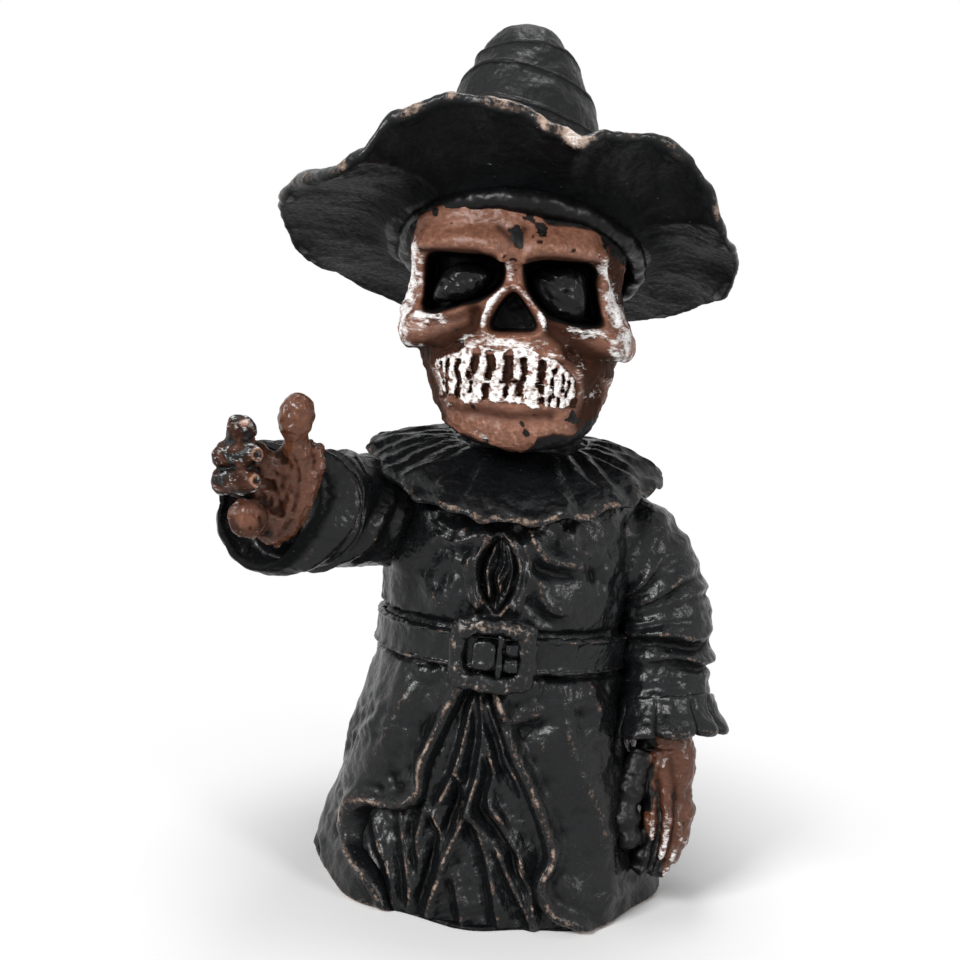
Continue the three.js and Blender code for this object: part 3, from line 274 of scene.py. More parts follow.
def linear(code):
    """An sRGB hex colour as the linear colour that a shader takes."""
    parts = np.array([int(code[i:i + 2], 16) for i in (1, 3, 5)]) / 255
    bright = np.where(parts <= 0.04045, parts / 12.92, ((parts + 0.055) / 1.055) ** 2.4)
    return (*bright, 1.0)


def node(tree, kind, inputs, out=0, **settings):
    """Adds a shader node, sets its properties, fills its inputs with values or with other nodes' outputs, and
    gives back one of its own outputs, or the node itself where it has none."""
    made = tree.nodes.new(kind)
    for key, value in settings.items():
        setattr(made, key, value)
    for key, value in inputs.items():
        if isinstance(value, bpy.types.NodeSocket):
            tree.links.new(value, made.inputs[key])
        else:
            made.inputs[key].default_value = value
    return made.outputs[out] if made.outputs else made


# Sizes of the paint's patterns: clouds where the coat is thicker, ripples and strokes left by the brush,
# grit, dry drags of the brush, and the distance between the pinholes left by air bubbles in the mould
CLOUD_SIZE = 11
RIPPLE_SIZE = 2.6
STROKE_SIZE = 1.1
GRIT_SIZE = 0.45
DRAG_SIZE = 0.6
PINHOLE_SPACING = 3.1
DRAGGED_WHITE = "#efedeb"


def painted_resin(name, ground, thin, rub, rub_bright, glaze_and_shade_colour, paint, roughness, gloss, depth):
    """Acrylic brushed over cast resin, between a thin and a ground colour. A second colour is rubbed on
    where the stored 'rub' value is high. As the stored value for glaze and shade rises a thin matt glaze
    lies on it, then a closed coat of the darkest paint: real glaze and black paint in some places, painted
    shade in the hollows in others. White is dragged on where 'white' is high. Depth is that of the brush
    marks, in mm."""
    material = bpy.data.materials.new(name)
    material.use_nodes = True
    tree = material.node_tree
    tree.nodes.clear()
    place = node(tree, "ShaderNodeTexCoord", {}, "Object")
    cloud = node(tree, "ShaderNodeTexNoise", {"Vector": place, "Scale": 1000 / CLOUD_SIZE, "Detail": 3})
    ripple = node(tree, "ShaderNodeTexNoise", {"Vector": place, "Scale": 1000 / RIPPLE_SIZE, "Detail": 2})
    stroke = node(tree, "ShaderNodeTexNoise", {
        "Vector": place, "Scale": 1000 / STROKE_SIZE, "Detail": 4, "Roughness": 0.65})
    grit = node(tree, "ShaderNodeTexNoise", {"Vector": place, "Scale": 1000 / GRIT_SIZE, "Detail": 3})
    drawn_out = node(tree, "ShaderNodeMapping", {"Vector": place, "Scale": (0.35, 0.35, 1)})
    drag = node(tree, "ShaderNodeTexNoise", {
        "Vector": drawn_out, "Scale": 1000 / DRAG_SIZE, "Detail": 4, "Roughness": 0.7})
    holes = node(tree, "ShaderNodeTexVoronoi", {"Vector": place, "Scale": 1000 / PINHOLE_SPACING})
    lot = node(tree, "ShaderNodeSeparateColor", {"Color": holes.node.outputs["Color"]})
    chosen = node(tree, "ShaderNodeMath", {0: lot, 1: 0.6}, operation="GREATER_THAN")
    round_hole = node(tree, "ShaderNodeMapRange", {"Value": holes, "From Min": 0.085, "From Max": 0.05})
    pinhole = node(tree, "ShaderNodeMath", {0: round_hole, 1: chosen}, operation="MULTIPLY")
    half_stroke = node(tree, "ShaderNodeMath", {0: stroke, 1: 0.4}, operation="MULTIPLY")
    streaky = node(tree, "ShaderNodeMath", {0: drag, 1: 0.35, 2: half_stroke}, operation="MULTIPLY_ADD")
    uneven = node(tree, "ShaderNodeMath", {0: cloud, 1: 0.35, 2: streaky}, operation="MULTIPLY_ADD")
    thick = node(tree, "ShaderNodeMapRange", {"Value": uneven, "From Min": 0.44, "From Max": 0.66})
    colour = node(tree, "ShaderNodeMix", {0: thick, 6: linear(thin), 7: linear(ground)}, 2, data_type="RGBA")
    rub_kept = node(tree, "ShaderNodeAttribute", {}, "Fac", attribute_name="rub")
    rub_worn = node(tree, "ShaderNodeMath", {0: stroke, 1: 1.5, 2: rub_kept}, operation="MULTIPLY_ADD")
    rub_share = node(tree, "ShaderNodeMapRange", {
        "Value": rub_worn, "From Min": 1.1, "From Max": 1.4, "To Max": 0.9})
    rub_share = node(tree, "ShaderNodeMath", {0: pinhole, 1: 0.4, 2: rub_share}, operation="MULTIPLY_ADD",
                     use_clamp=True)
    rub_fresh = node(tree, "ShaderNodeMapRange", {"Value": rub_worn, "From Min": 1.25, "From Max": 1.75})
    rub_colour = node(tree, "ShaderNodeMix", {0: rub_fresh, 6: linear(rub), 7: linear(rub_bright)}, 2,
                      data_type="RGBA")
    colour = node(tree, "ShaderNodeMix", {0: rub_share, 6: colour, 7: rub_colour}, 2, data_type="RGBA")
    # Painted shade: on most pieces this stored value darkens the hollows, first with the glaze colour and
    # then with the darkest paint
    wash_kept = node(tree, "ShaderNodeAttribute", {}, "Fac", attribute_name="wash")
    wash_run = node(tree, "ShaderNodeMath", {0: stroke, 1: 0.4, 2: wash_kept}, operation="MULTIPLY_ADD")
    glaze_and_shade_share = node(tree, "ShaderNodeMapRange", {
        "Value": wash_run, "From Min": 0.24, "From Max": 0.78, "To Max": 0.92})
    colour = node(tree, "ShaderNodeMix", {0: glaze_and_shade_share, 6: colour, 7: linear(glaze_and_shade_colour)}, 2, data_type="RGBA")
    paint_share = node(tree, "ShaderNodeMapRange", {"Value": wash_run, "From Min": 0.92, "From Max": 1.0})
    colour = node(tree, "ShaderNodeMix", {0: paint_share, 6: colour, 7: linear(paint)}, 2, data_type="RGBA")
    white_kept = node(tree, "ShaderNodeAttribute", {}, "Fac", attribute_name="white")
    white_drag = node(tree, "ShaderNodeMath", {0: drag, 1: 1.6, 2: white_kept}, operation="MULTIPLY_ADD")
    white_laid = node(tree, "ShaderNodeMapRange", {"Value": white_drag, "From Min": 1.12, "From Max": 1.55})
    white_pits = node(tree, "ShaderNodeMapRange", {"Value": stroke, "From Min": 0.33, "From Max": 0.43})
    white_share = node(tree, "ShaderNodeMath", {0: white_laid, 1: white_pits}, operation="MULTIPLY")
    colour = node(tree, "ShaderNodeMix", {0: white_share, 6: colour, 7: linear(DRAGGED_WHITE)}, 2,
                  data_type="RGBA")
    fine = node(tree, "ShaderNodeMath", {0: stroke, 1: 0.14, 2: ripple}, operation="MULTIPLY_ADD")
    brushed = node(tree, "ShaderNodeMath", {0: grit, 1: 0.03, 2: fine}, operation="MULTIPLY_ADD")
    height = node(tree, "ShaderNodeMath", {0: pinhole, 1: -0.5, 2: brushed}, operation="MULTIPLY_ADD")
    relief = node(tree, "ShaderNodeBump", {"Height": height, "Strength": 0.9, "Distance": 0.001 * depth})
    shine = node(tree, "ShaderNodeMath", {0: stroke, 1: 0.3, 2: roughness - 0.15}, operation="MULTIPLY_ADD")
    matt = node(tree, "ShaderNodeMath", {0: paint_share, 1: -0.45, 2: glaze_and_shade_share}, operation="MULTIPLY_ADD")
    shine = node(tree, "ShaderNodeMath", {0: matt, 1: 0.35, 2: shine}, operation="MULTIPLY_ADD")
    sheen = node(tree, "ShaderNodeMapRange", {
        "Value": matt, "From Max": 0.92, "To Min": gloss, "To Max": 0.25 * gloss})
    shader = node(tree, "ShaderNodeBsdfPrincipled", {
        "Base Color": colour, "Roughness": shine, "Normal": relief, "IOR": 1.42, "Specular IOR Level": sheen})
    node(tree, "ShaderNodeOutputMaterial", {"Surface": shader})
    return material


# Black acrylic over resin: a satin blue-black, painted darker in the folds as shade, with the copper ground
# coming through as broken lines on crests and edges and as specks at the pinholes
black_acrylic = painted_resin(
    "black_acrylic_over_resin", ground="#141517", thin="#0c0d0e", rub="#624f44", rub_bright="#b8a394",
    glaze_and_shade_colour="#060708", paint="#030304", roughness=0.29, gloss=0.35, depth=0.5)

FRONT_CROWDING = 0.45


def full_turn(count):
    """Evenly spaced angles once round a piece."""
    return np.linspace(0, 2 * np.pi, count, endpoint=False)


def crowded(count):
    """Angles round the figure, closest together at the front: s - k sin s for evenly spaced s."""
    even = np.linspace(-np.pi, np.pi, count, endpoint=False)
    return even - FRONT_CROWDING * np.sin(even)


coat_fine = through(COAT_ROWS, np.linspace(0, 1, 1200))


def coat_half(height):
    """Half-width and half-depth of the plain coat at a height."""
    return (np.interp(height, coat_fine[:, 2], coat_fine[:, 0]),
            np.interp(height, coat_fine[:, 2], coat_fine[:, 1]))


def coat_radius(angle, height):
    """Radius of the plain coat: a superellipse of its half-width and half-depth, with folds at the hem."""
    half_width, half_depth = coat_half(height)
    across = (np.abs(np.sin(angle)) / half_width) ** SQUARENESS
    ahead = (np.abs(np.cos(angle)) / half_depth) ** SQUARENESS
    hem = HEM_FOLD_DEPTH * np.clip(1 - height / WAIST, 0, 1) * np.cos(HEM_FOLDS * angle)
    return (across + ahead) ** (-1 / SQUARENESS) + hem


def coat_front(x, height):
    """How far the plain coat's front stands ahead of the middle at a place seen from the front."""
    half_width, half_depth = coat_half(height)
    return half_depth * np.clip(1 - (np.abs(x) / half_width) ** SQUARENESS, 0, 1) ** (1 / SQUARENESS)


def belt_middle(angle):
    """Height of the middle of the belt round the waist: it is tilted, higher at the front."""
    return WAIST + BELT_SLOPE * coat_radius(angle, WAIST) * np.cos(angle)


angle, rise = np.meshgrid(crowded(460), evenly(COAT_ROWS, 206))
z = through(COAT_ROWS, rise)[..., 2]
radius = coat_radius(angle, z)
coat = np.stack([radius * np.sin(angle), -radius * np.cos(angle), z], axis=-1)
x = coat[..., 0]
ahead = ease(np.cos(angle), 0.0, 0.35)
opening = depth_inside(x, z, OPENING_RIGHT, OPENING_LEFT)
slit = depth_inside(x, z, SLIT_RIGHT, SLIT_LEFT)
relief, crest = folded(x, z, COAT_FOLDS)
relief += ROLLED_EDGE * swell(opening, -1.6, 1.8) - 0.5 * swell(opening, -5.2, 2.0)
relief += sum(ridge(x, z, *welt) for welt in COAT_WELTS)
relief += 0.7 * swell(slit, -0.5, 0.6)
relief -= OPENING_DEPTH * ease(opening, -0.3, 0.9) + SLIT_DEPTH * ease(slit, -0.1, 0.8)
# The back was worked less: six long drapes that fall from the belt
behind = ease(-np.cos(angle), 0.0, 0.4)
drape = np.abs(np.sin(3 * np.pi * np.sin(angle) + 0.25 * np.sin(0.07 * z + 2 * angle))) ** 0.9
under_belt = ease(belt_middle(angle) - z, 8.5, 16)
relief = relief * ahead + behind * under_belt * BACK_DRAPE_DEPTH * (drape - 0.5)
relief -= BELT_GROOVE * swell(np.abs(z - belt_middle(angle)), 5.6, 0.9)
# Lumps and tool marks of three sizes, more in some places than in others and most at the front
worked = ease(waves(coat, 26, 4), -0.9, 0.9) * (0.35 + 0.65 * ahead)
relief += 0.42 * waves(coat, 16, 1) + (0.1 + 0.28 * worked) * waves(coat, 7, 2)
relief += (0.02 + 0.09 * worked) * waves(coat, 2.8, 3)
relief *= ease(z, -0.5, 1.5) * ease(118.5 - z, 0, 4)
coat = raised(coat, False, relief)
coat[..., 2] = np.clip(coat[..., 2], 0, None)
coat[0, :, :2] *= 0.985
proud = stands_out(coat, False, 40)
fine_proud = stands_out(coat, False, 5)
welted = sum(swell(nearest_on(x, z, welt[0])[0], 0, 0.5) for welt in COAT_WELTS)
rub = 0.46 * swell(opening, -1.5, 0.5) + 0.3 * crest + 0.32 * welted + 0.32 * swell(slit, -0.5, 0.4)
rub = rub * patches(coat, 8, 5) * ahead + 0.12 * np.clip(fine_proud / 0.05, 0, 1)
rub += 0.12 * ease(proud, 0.3, 1.2) + 0.4 * ease(1.4 - z, 0, 1)
# Painted shade: the coat is darker inside the opening behind the underskirt, in its hollows and in its folds
wash = ease(opening, 0, 1) * ahead + 0.7 * ease(-proud, 0.3, 1.0) + 0.15 * ease(-fine_proud, 0.01, 0.06)
coat_piece = grid_piece("coat", coat, black_acrylic, rub=rub, wash=wash)
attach(coat_piece, "root")
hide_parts("coat_body")

# Underskirt and shirt
# Two thin castings of pleated and crumpled cloth, let into the open coat front and into the slit on the
# chest from outside. They are resin too, painted black with the crests of the pleats rubbed.
SKIRT_PLEATS = [
    ([(-1.8, 66), (-1.6, 57.6), (-0.7, 52.1), (-0.2, 45.7), (-0.8, 38.1), (-2.2, 30.2), (-3.4, 24)],
     2.4, 1.3),
    ([(-3, 62), (-3.6, 56.5), (-4.6, 49.8), (-5.6, 43.1), (-7.1, 37.1), (-9.6, 30.5), (-12, 25)], 2.0, 1.3),
    ([(-1.6, 33), (-2.5, 29.3), (-4.5, 23), (-6.6, 17.6), (-8.1, 11.8), (-10, 3.6), (-11, -5)], 2.7, 1.6),
    ([(-1.6, 31), (-1.1, 28), (1.4, 23), (3.7, 17.3), (5.6, 11), (7.6, 3.5), (9, -5)], 2.2, 1.5),
    ([(0.5, 33), (2.5, 29.8), (6.3, 25.9), (10, 21.3), (12.5, 17.1), (14, 11)], 2.2, 1.3),
    ([(0.4, 58), (1.4, 53.9), (4.2, 47.6), (6.4, 42), (9.4, 37.5), (12, 31)], 1.9, 1.2),
    ([(1.2, 49), (2, 44), (3.4, 38.5), (2.7, 32.4), (6.1, 28), (9, 25)], 1.7, 1.1),
    ([(-20.5, 27), (-19.8, 23.1), (-18, 16.2), (-16.3, 10.1), (-15.4, 5.2), (-15, -4)], 2.1, 1.5),
    ([(-30, 24), (-27.9, 20.2), (-25.7, 15.2), (-22.2, 10.6), (-20, 4), (-19, -4)], 1.8, 1.5),
    ([(-13.4, 30), (-13.7, 26.3), (-14.8, 19.2), (-13.5, 14), (-12.6, 6)], 1.8, 1.3),
    ([(5, 23), (7.1, 18), (11.1, 10.7), (15, 4), (17, -3)], 1.9, 1.4),
    ([(10.6, 19), (12.2, 15.4), (15.3, 9.9), (16.7, 3.9), (17.5, -4)], 1.4, 1.2),
    ([(-7, 41), (-6, 38), (-3.7, 33.5), (-4.5, 27.1), (-6, 22)], 1.6, 1.1),
    ([(-11.6, 28), (-10.8, 25.3), (-8.7, 21.5), (-8.9, 15.8), (-10, 10)], 1.5, 1.1),
    ([(-5, 15), (-3, 8), (-1.5, 2), (-0.5, -5)], 1.3, 1.2),
]
SHIRT_PLEATS = [
    ([(0, 100), (-2.4, 92.5), (-2.6, 88), (-0.8, 79)], 1.6, 0.7),
    ([(0.2, 100), (1.2, 92), (0.2, 88.5), (1, 84), (0.8, 78)], 1.9, 0.7),
    ([(1.4, 98), (3.4, 91), (3, 87.5), (1.8, 81)], 1.5, 0.65),
    ([(-3, 95), (-3.8, 90), (-3.4, 85)], 1.0, 0.6),
    ([(0.8, 94), (2.4, 90.5), (1, 86.5), (2.2, 83)], 1.1, 0.55),
]


def let_in(name, left, right, heights, columns, sink, back, pleats, crumple, node_name):
    """A panel that follows the coat's front between two edges given by height: its face lies a little behind
    the coat and carries the pleats, and the loop of each row runs back behind it."""
    share, height = np.meshgrid(np.linspace(0, 1, columns), heights)
    x = left(height) + (right(height) - left(height)) * share
    y = -coat_front(x, height) + sink
    face = np.stack([x, y, height], axis=-1)
    lift, crest = folded(x, height, pleats)
    face[..., 1] -= lift + crumple * (waves(face, 5, 11) + 0.5 * waves(face, 2.2, 12))
    rear = np.stack([x, y + back, height], axis=-1)[:, ::-1]
    grid = np.concatenate([face, rear], axis=1)
    proud = stands_out(grid, False, 24)
    proud[:, columns - 2:] = 0
    proud[:, :2] = 0
    worn = 0.42 * crest * patches(face, 7, 13)
    rub = np.concatenate([worn, 0 * crest], axis=1) + 0.2 * np.clip(proud / 0.5, 0, 1)
    # Painted shade: the panel darkens where it lies lower than its surroundings, between the pleats
    piece = grid_piece(name, grid, black_acrylic, rub=rub, wash=0.8 * ease(-proud, 0.05, 0.5))
    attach(piece, "root")
    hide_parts(node_name)


let_in("underskirt_pleats", lambda z: np.interp(z, [0, 26, 35, 62], [-36, -36, -19, -8]),
       lambda z: np.interp(z, [0, 10, 30, 62], [32, 26, 19, 4]), np.linspace(0, 61, 190), 230,
       3.4, 3.2, SKIRT_PLEATS, 0.12, "underskirt")
let_in("shirt_crumple", lambda z: crossing(SLIT_RIGHT, z) - 0.8, lambda z: crossing(SLIT_LEFT, z) + 0.8,
       np.linspace(79.6, 98.8, 110), 80, 2.9, 2.0, SHIRT_PLEATS, 0.2, "shirt_front")

# Belt
# A flat band cast in resin with raised borders and glued round the waist, a little higher at the front.
# It is painted black, and the borders are rubbed.
BELT_WIDTH = 9.5
BELT_THICKNESS = 2.4
loop, angle = np.meshgrid(full_turn(72), crowded(430), indexing="ij")


def rounded(value, power):
    """A cosine or sine drawn towards its ends, which squares off a round section."""
    return np.sign(value) * np.abs(value) ** power


up = BELT_WIDTH / 2 * rounded(np.sin(loop), 0.32)
out = BELT_THICKNESS * (0.5 + 0.5 * rounded(np.cos(loop), 0.45)) - 0.3
border = swell(np.abs(up), BELT_WIDTH / 2 - 0.75, 0.5)
out = out + (0.55 * border - 0.2) * (np.cos(loop) > 0)
middle = belt_middle(angle)
radius = coat_radius(angle, middle + 0.5 * up) + out
belt = np.stack([radius * np.sin(angle), -radius * np.cos(angle), middle + up], axis=-1)
belt = raised(belt, True, 0.13 * waves(belt, 6, 21) + 0.06 * waves(belt, 2.2, 22))
rub = 0.36 * border * (np.cos(loop) > 0) * patches(belt, 8, 23)
rub += 0.12 * np.clip(stands_out(belt, True, 12) / 0.3, 0, 1)
belt_piece = grid_piece("belt_band", belt, black_acrylic, ring=True, rub=rub)
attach(belt_piece, "root")
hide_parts("belt")

# Buckle
# A chunky rounded square frame with a bar across it, the end of the belt on one side of the bar and the
# prong on the other. Small resin castings glued on the belt, their top edges rubbed with bronze.
BUCKLE_WIDTH = 22
BUCKLE_HEIGHT = 19
BUCKLE_BAR = 4.2
BUCKLE_MIDDLE = (0.6, 70)
# Black acrylic with pale bronze rubbed over every raised edge
bronze_rubbed = painted_resin(
    "bronze_rubbed_resin", ground="#141517", thin="#0c0d0e", rub="#6f6056", rub_bright="#c9b7aa",
    glaze_and_shade_colour="#060708", paint="#030304", roughness=0.29, gloss=0.38, depth=0.4)


def on_belt(x, z, lift):
    """A place on the buckle: x and z from its middle, lifted off the belt's face."""
    ahead = coat_front(BUCKLE_MIDDLE[0] + x, BUCKLE_MIDDLE[1] + 0.4 * z) + BELT_THICKNESS + lift
    return np.stack([BUCKLE_MIDDLE[0] + x, -ahead, BUCKLE_MIDDLE[1] + z], axis=-1)


def hammered(grid, ring, seed):
    """A grid with small dents, and how much bronze each place has caught."""
    grid = raised(grid, ring, 0.2 * waves(grid, 4, seed) + 0.07 * waves(grid, 1.7, seed + 1))
    return grid, 0.32 * np.clip(stands_out(grid, ring, 14) / 0.35, 0, 1)


section, turn = np.meshgrid(full_turn(48), full_turn(240), indexing="ij")
inward = (1 - rounded(np.cos(section), 0.9)) * BUCKLE_BAR / 2
buckle = on_belt((BUCKLE_WIDTH / 2 - inward) * rounded(np.cos(turn), 0.42),
                 (BUCKLE_HEIGHT / 2 - inward) * rounded(np.sin(turn), 0.42),
                 1.3 + 1.9 * rounded(np.sin(section), 0.95))
buckle, rub = hammered(buckle, True, 31)
rub += 0.2 * swell(np.cos(section), 0.1, 0.4) * ease(np.sin(section), 0.1, 0.5)
rub += 0.14 * ease(buckle[..., 2], 74, 78) * ease(np.sin(section), 0.2, 0.9)
frame_piece = grid_piece("buckle_frame_cast", buckle, bronze_rubbed, ring=True, rub=rub)
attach(frame_piece, "root")
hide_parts("buckle_frame")


def block(x0, x1, z0, z1, thickness, seed):
    """A small squared block on the belt: a superellipsoid stretched between its sides."""
    down, around = np.meshgrid(np.linspace(0.03, np.pi - 0.03, 40), full_turn(60), indexing="ij")
    wide = rounded(np.sin(down), 0.4)
    x = (x0 + x1) / 2 + (x1 - x0) / 2 * wide * rounded(np.cos(around), 0.4)
    z = (z0 + z1) / 2 + (z1 - z0) / 2 * wide * rounded(np.sin(around), 0.4)
    lift = (thickness + 0.6) * (0.5 + 0.5 * rounded(np.cos(down), 0.4)) - 0.6
    return hammered(on_belt(x, z, lift), False, seed)


for name, node_name, box in [
    ("buckle_bar", "buckle_frame", (1.3, 2.6, -5.6, 5.6, 2.3, 41)),
    ("belt_tip_block", "belt_tip", (-4.9, 1.0, -3.9, 3.6, 2.1, 43)),
    ("prong_upper", "buckle_prong", (3.1, 6.6, 0.5, 3.3, 2.0, 45)),
    ("prong_lower", "buckle_prong", (3.1, 6.9, -3.4, -0.3, 2.4, 47)),
]:
    shape, rub = block(*box)
    piece = grid_piece(name, shape, bronze_rubbed, rub=1.4 * rub)
    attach(piece, "root")
    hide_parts(node_name)

# Ruff collar
# A pleated ring that lies on the shoulders and drops over the chest. The pleats are close at the sides and
# back and broad in front, and the thin ragged rim has lost most of its black.
COLLAR_INNER = 18
COLLAR_OUTER = 39.5
COLLAR_THICKNESS = 2.6
COLLAR_LEVEL = 118
COLLAR_FRONT_DROP = 10
# Degrees from the front at which each pleat stands
COLLAR_PLEATS = [-171, -160, -150, -139, -128, -118, -108, -98, -90, -82, -74, -67, -60, -53, -45, -37, -27,
                 -13, 7, 27, 41, 52, 61, 69, 77, 85, 93, 102, 112, 123, 133, 144, 155, 166, 177]


def wrapped(angle):
    """The same angle, between half a turn either way."""
    return np.angle(np.exp(1j * angle))


section, angle = np.meshgrid(full_turn(130), crowded(560), indexing="ij")
across = 0.5 - 0.5 * rounded(np.cos(section), 0.8)
front = np.clip(np.cos(angle), 0, 1)
pleat = 0 * angle
crease = 0 * angle
for degrees in COLLAR_PLEATS:
    width = np.radians(3.2 + 3.2 * max(0, np.cos(np.radians(degrees))) ** 3)
    apart = wrapped(angle - np.radians(degrees) - 0.05 * np.sin(4 * across + degrees))
    pleat += (0.75 + 0.35 * np.sin(degrees * 1.7)) * swell(apart, 0, width)
    crease += (0.7 + 0.3 * np.sin(degrees * 2.3)) * swell(apart, 1.5 * width, np.radians(3.2))
inner = COLLAR_LEVEL + 1.6 - 2.6 * front
outer = COLLAR_LEVEL - 4 - COLLAR_FRONT_DROP * front ** 1.5 - 3 * np.clip(-np.cos(angle), 0, 1)
sag = 1.2 * np.sin(np.pi * across) * (1 - 0.5 * front)
radius = COLLAR_INNER + (COLLAR_OUTER - COLLAR_INNER) * across
height = inner + (outer - inner) * across + sag - 0.035 * radius * np.sin(angle) * across
height += ((1.6 - 0.4 * front ** 3) * (pleat - 0.4) - 0.8 * crease) * across ** 0.6
height += COLLAR_THICKNESS / 2 * (1 + 0.3 * swell(across, 0.95, 0.06)) * rounded(np.sin(section), 0.6)
collar = np.stack([radius * np.sin(angle) - 1.5 * across, -radius * np.cos(angle), height], axis=-1)
ragged = waves(collar, 10, 51) * 0.5 + waves(collar, 3.6, 52) * 0.12
outward = np.stack([np.sin(angle), -np.cos(angle), 0.35 + 0 * angle], axis=-1)
collar += outward * (ragged * across ** 3)[..., None]
collar = raised(collar, True, 0.07 * waves(collar, 5, 54) + 0.02 * waves(collar, 1.8, 55))
proud = stands_out(collar, True, 18)
rub = 0.26 * np.clip(proud / 0.6, 0, 1)
# Painted shade: the collar darkens in the creases between its pleats and in its hollows
creased = 0.2 * np.clip(crease, 0, 1) * ease(across, 0.1, 0.4) * ease(np.sin(section), -0.2, 0.2)
rim = ease(across, 0.955, 0.98) * ease(np.sin(section), -0.5, 0.2)
rub += (0.34 + 0.3 * front) * rim * (0.4 + 0.6 * ease(waves(collar, 7, 56), -0.8, 0.8))
collar_piece = grid_piece("ruff_pleated", collar, black_acrylic, ring=True, rub=rub,
                          wash=0.6 * ease(-proud, 0.15, 0.6) + creased)
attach(collar_piece, "root")
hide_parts("ruff_collar")

# Neck
# A short plug between the coat and the skull, in shadow under the jaw, that runs up into the back of the
# skull. It is cast resin, painted black.
NECK_RADIUS = 15.6
NECK_FOOT = 112
NECK_HEIGHT = 20
NAPE_RISE = 14
NECK_LEAN = 4
turn, rise = np.meshgrid(full_turn(160), np.linspace(0, 1, 60))
nape = ease(-np.cos(turn), -0.2, 0.9)
radius = NECK_RADIUS * (1 + 0.06 * (1 - 2 * rise) ** 2 - 0.1 * nape * rise)
height = NECK_FOOT + (NECK_HEIGHT + NAPE_RISE * nape) * rise
neck = np.stack([radius * np.sin(turn), -radius * np.cos(turn) + NECK_LEAN * rise, height], axis=-1)
neck = raised(neck, False, 0.3 * waves(neck, 6, 61))
neck_piece = grid_piece("neck_plug", neck, black_acrylic, wash=0.3 + 0 * turn)
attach(neck_piece, "root")
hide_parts("neck")

# Skull
# One casting from chin to crown, glued on the neck, with the sockets and the nose pressed deep into it.
# It is brushed copper brown over black, and white is dragged over the nose, the cheekbones and the teeth.
SKULL_SIZE = (28.8, 37, 28, 73.5)
CHIN = 120
LEAN = -0.085
TURN = 0.07
SKULL_X = -0.9
SOCKET_DEPTH = 11.5
NOSE_DEPTH = 8.5
MOUTH_DEPTH = 1.6
JAW_BEND = 1.8
JAW_HALF_WIDTH = 17
# Share of the height, then half-width, face and back as shares of their sizes
SKULL_ROWS = [
    (0.003, 0.25, 0.88, -0.36), (0.028, 0.47, 0.97, -0.18), (0.08, 0.66, 1, 0.03), (0.163, 0.78, 1.01, 0.28),
    (0.26, 0.85, 1, 0.5), (0.34, 0.92, 0.97, 0.71), (0.42, 0.97, 0.93, 0.86), (0.53, 0.985, 0.91, 0.96),
    (0.64, 1, 0.94, 1), (0.735, 0.98, 0.94, 0.98), (0.816, 0.88, 0.92, 0.9), (0.885, 0.7, 0.81, 0.7),
    (0.94, 0.42, 0.55, 0.4), (0.96, 0.14, 0.2, 0.12),
]
# Outlines and lines on the face are over (x, z), x from the middle of the face and z from the chin
SOCKET_RIGHT = [(-20.3, 47), (-11, 48), (-3.4, 47.7), (-2, 45), (-2.6, 40.6), (-6.6, 36.9), (-12, 34.8),
                (-20.4, 31.8), (-22.6, 34.2), (-22.2, 41.5)]
SOCKET_LEFT = [(3.2, 47.2), (11, 47.9), (18.8, 47), (20.2, 41.6), (21.3, 32.6), (17.3, 31.3), (12, 32.2),
               (6.3, 34.9), (3, 39.6), (2.2, 44.6)]
NOSE_HOLE = [(-0.2, 39.2), (-3.9, 35.5), (-6.1, 31), (-5, 29), (-0.2, 29.1), (4.6, 29.7), (5.6, 31.8),
             (3.2, 36)]
BROWS = [
    ([(-21.5, 49), (-12.6, 50.2), (-5.5, 50), (-2.6, 48.4)], 2.4, 2.4),
    ([(2.8, 48.4), (5.5, 50), (10, 50.2), (20.2, 49.4)], 2.4, 2.4),
    ([(-0.5, 60), (0.3, 55), (0.6, 51)], 1.4, 3.4),
    ([(-21.5, 49.2), (-12.6, 50.4), (-5.5, 50.1), (-2.8, 48.8)], 0.9, 1.0),
    ([(3, 48.8), (5.7, 50.1), (10, 50.4), (20.2, 49.6)], 0.9, 1.0),
    ([(-19, 55.5), (-12, 56.6), (-6, 56)], 1.0, 3.6),
    ([(6, 55), (12, 55), (18, 53.8)], 0.9, 3.2),
]
FRAME_RIGHT = [(-24.2, 47.9), (-24.5, 43.1), (-25.9, 36.7), (-27.3, 31.8)]
FRAME_LEFT = [(20.5, 47.2), (22, 42), (24.2, 37.3), (26.4, 31.3)]
# Cheekbones: where each lobe lies on the face, its radius and its height
CHEEK_LOBES = [(-23.8, 28.4, 4.6, 3.0), (23.2, 28.4, 4.6, 3.0)]
GUM_LINE = [(-18.7, 21.5), (-13.1, 24.4), (-9.4, 26), (-5.1, 26.6), (-1, 26.4), (2.8, 26), (6.4, 25.3),
            (10.6, 24.2), (13.9, 22.1), (15.7, 19.9)]
HOLLOWS = [
    ([(-24.5, 22), (-21.7, 22.8), (-17.1, 22.4), (-13.7, 25)], -3.2, 2.1),
    ([(14.5, 25.8), (17.8, 24.2), (22.1, 23.3), (25, 22.4)], -3.2, 2.1),
    ([(-23.5, 20), (-22, 15), (-20, 8)], -1.1, 2.2),
    ([(17.5, 21), (18.5, 16), (16, 9)], -0.9, 2.2),
    ([(-10, 9.5), (0, 8.6), (10, 9.8)], -0.9, 2.0),
    ([(-9.2, 33.5), (-10, 30.2), (-13, 28)], -1.0, 1.6),
    ([(8.8, 33.5), (9.6, 30.4), (12, 28.2)], -1.0, 1.6),
]
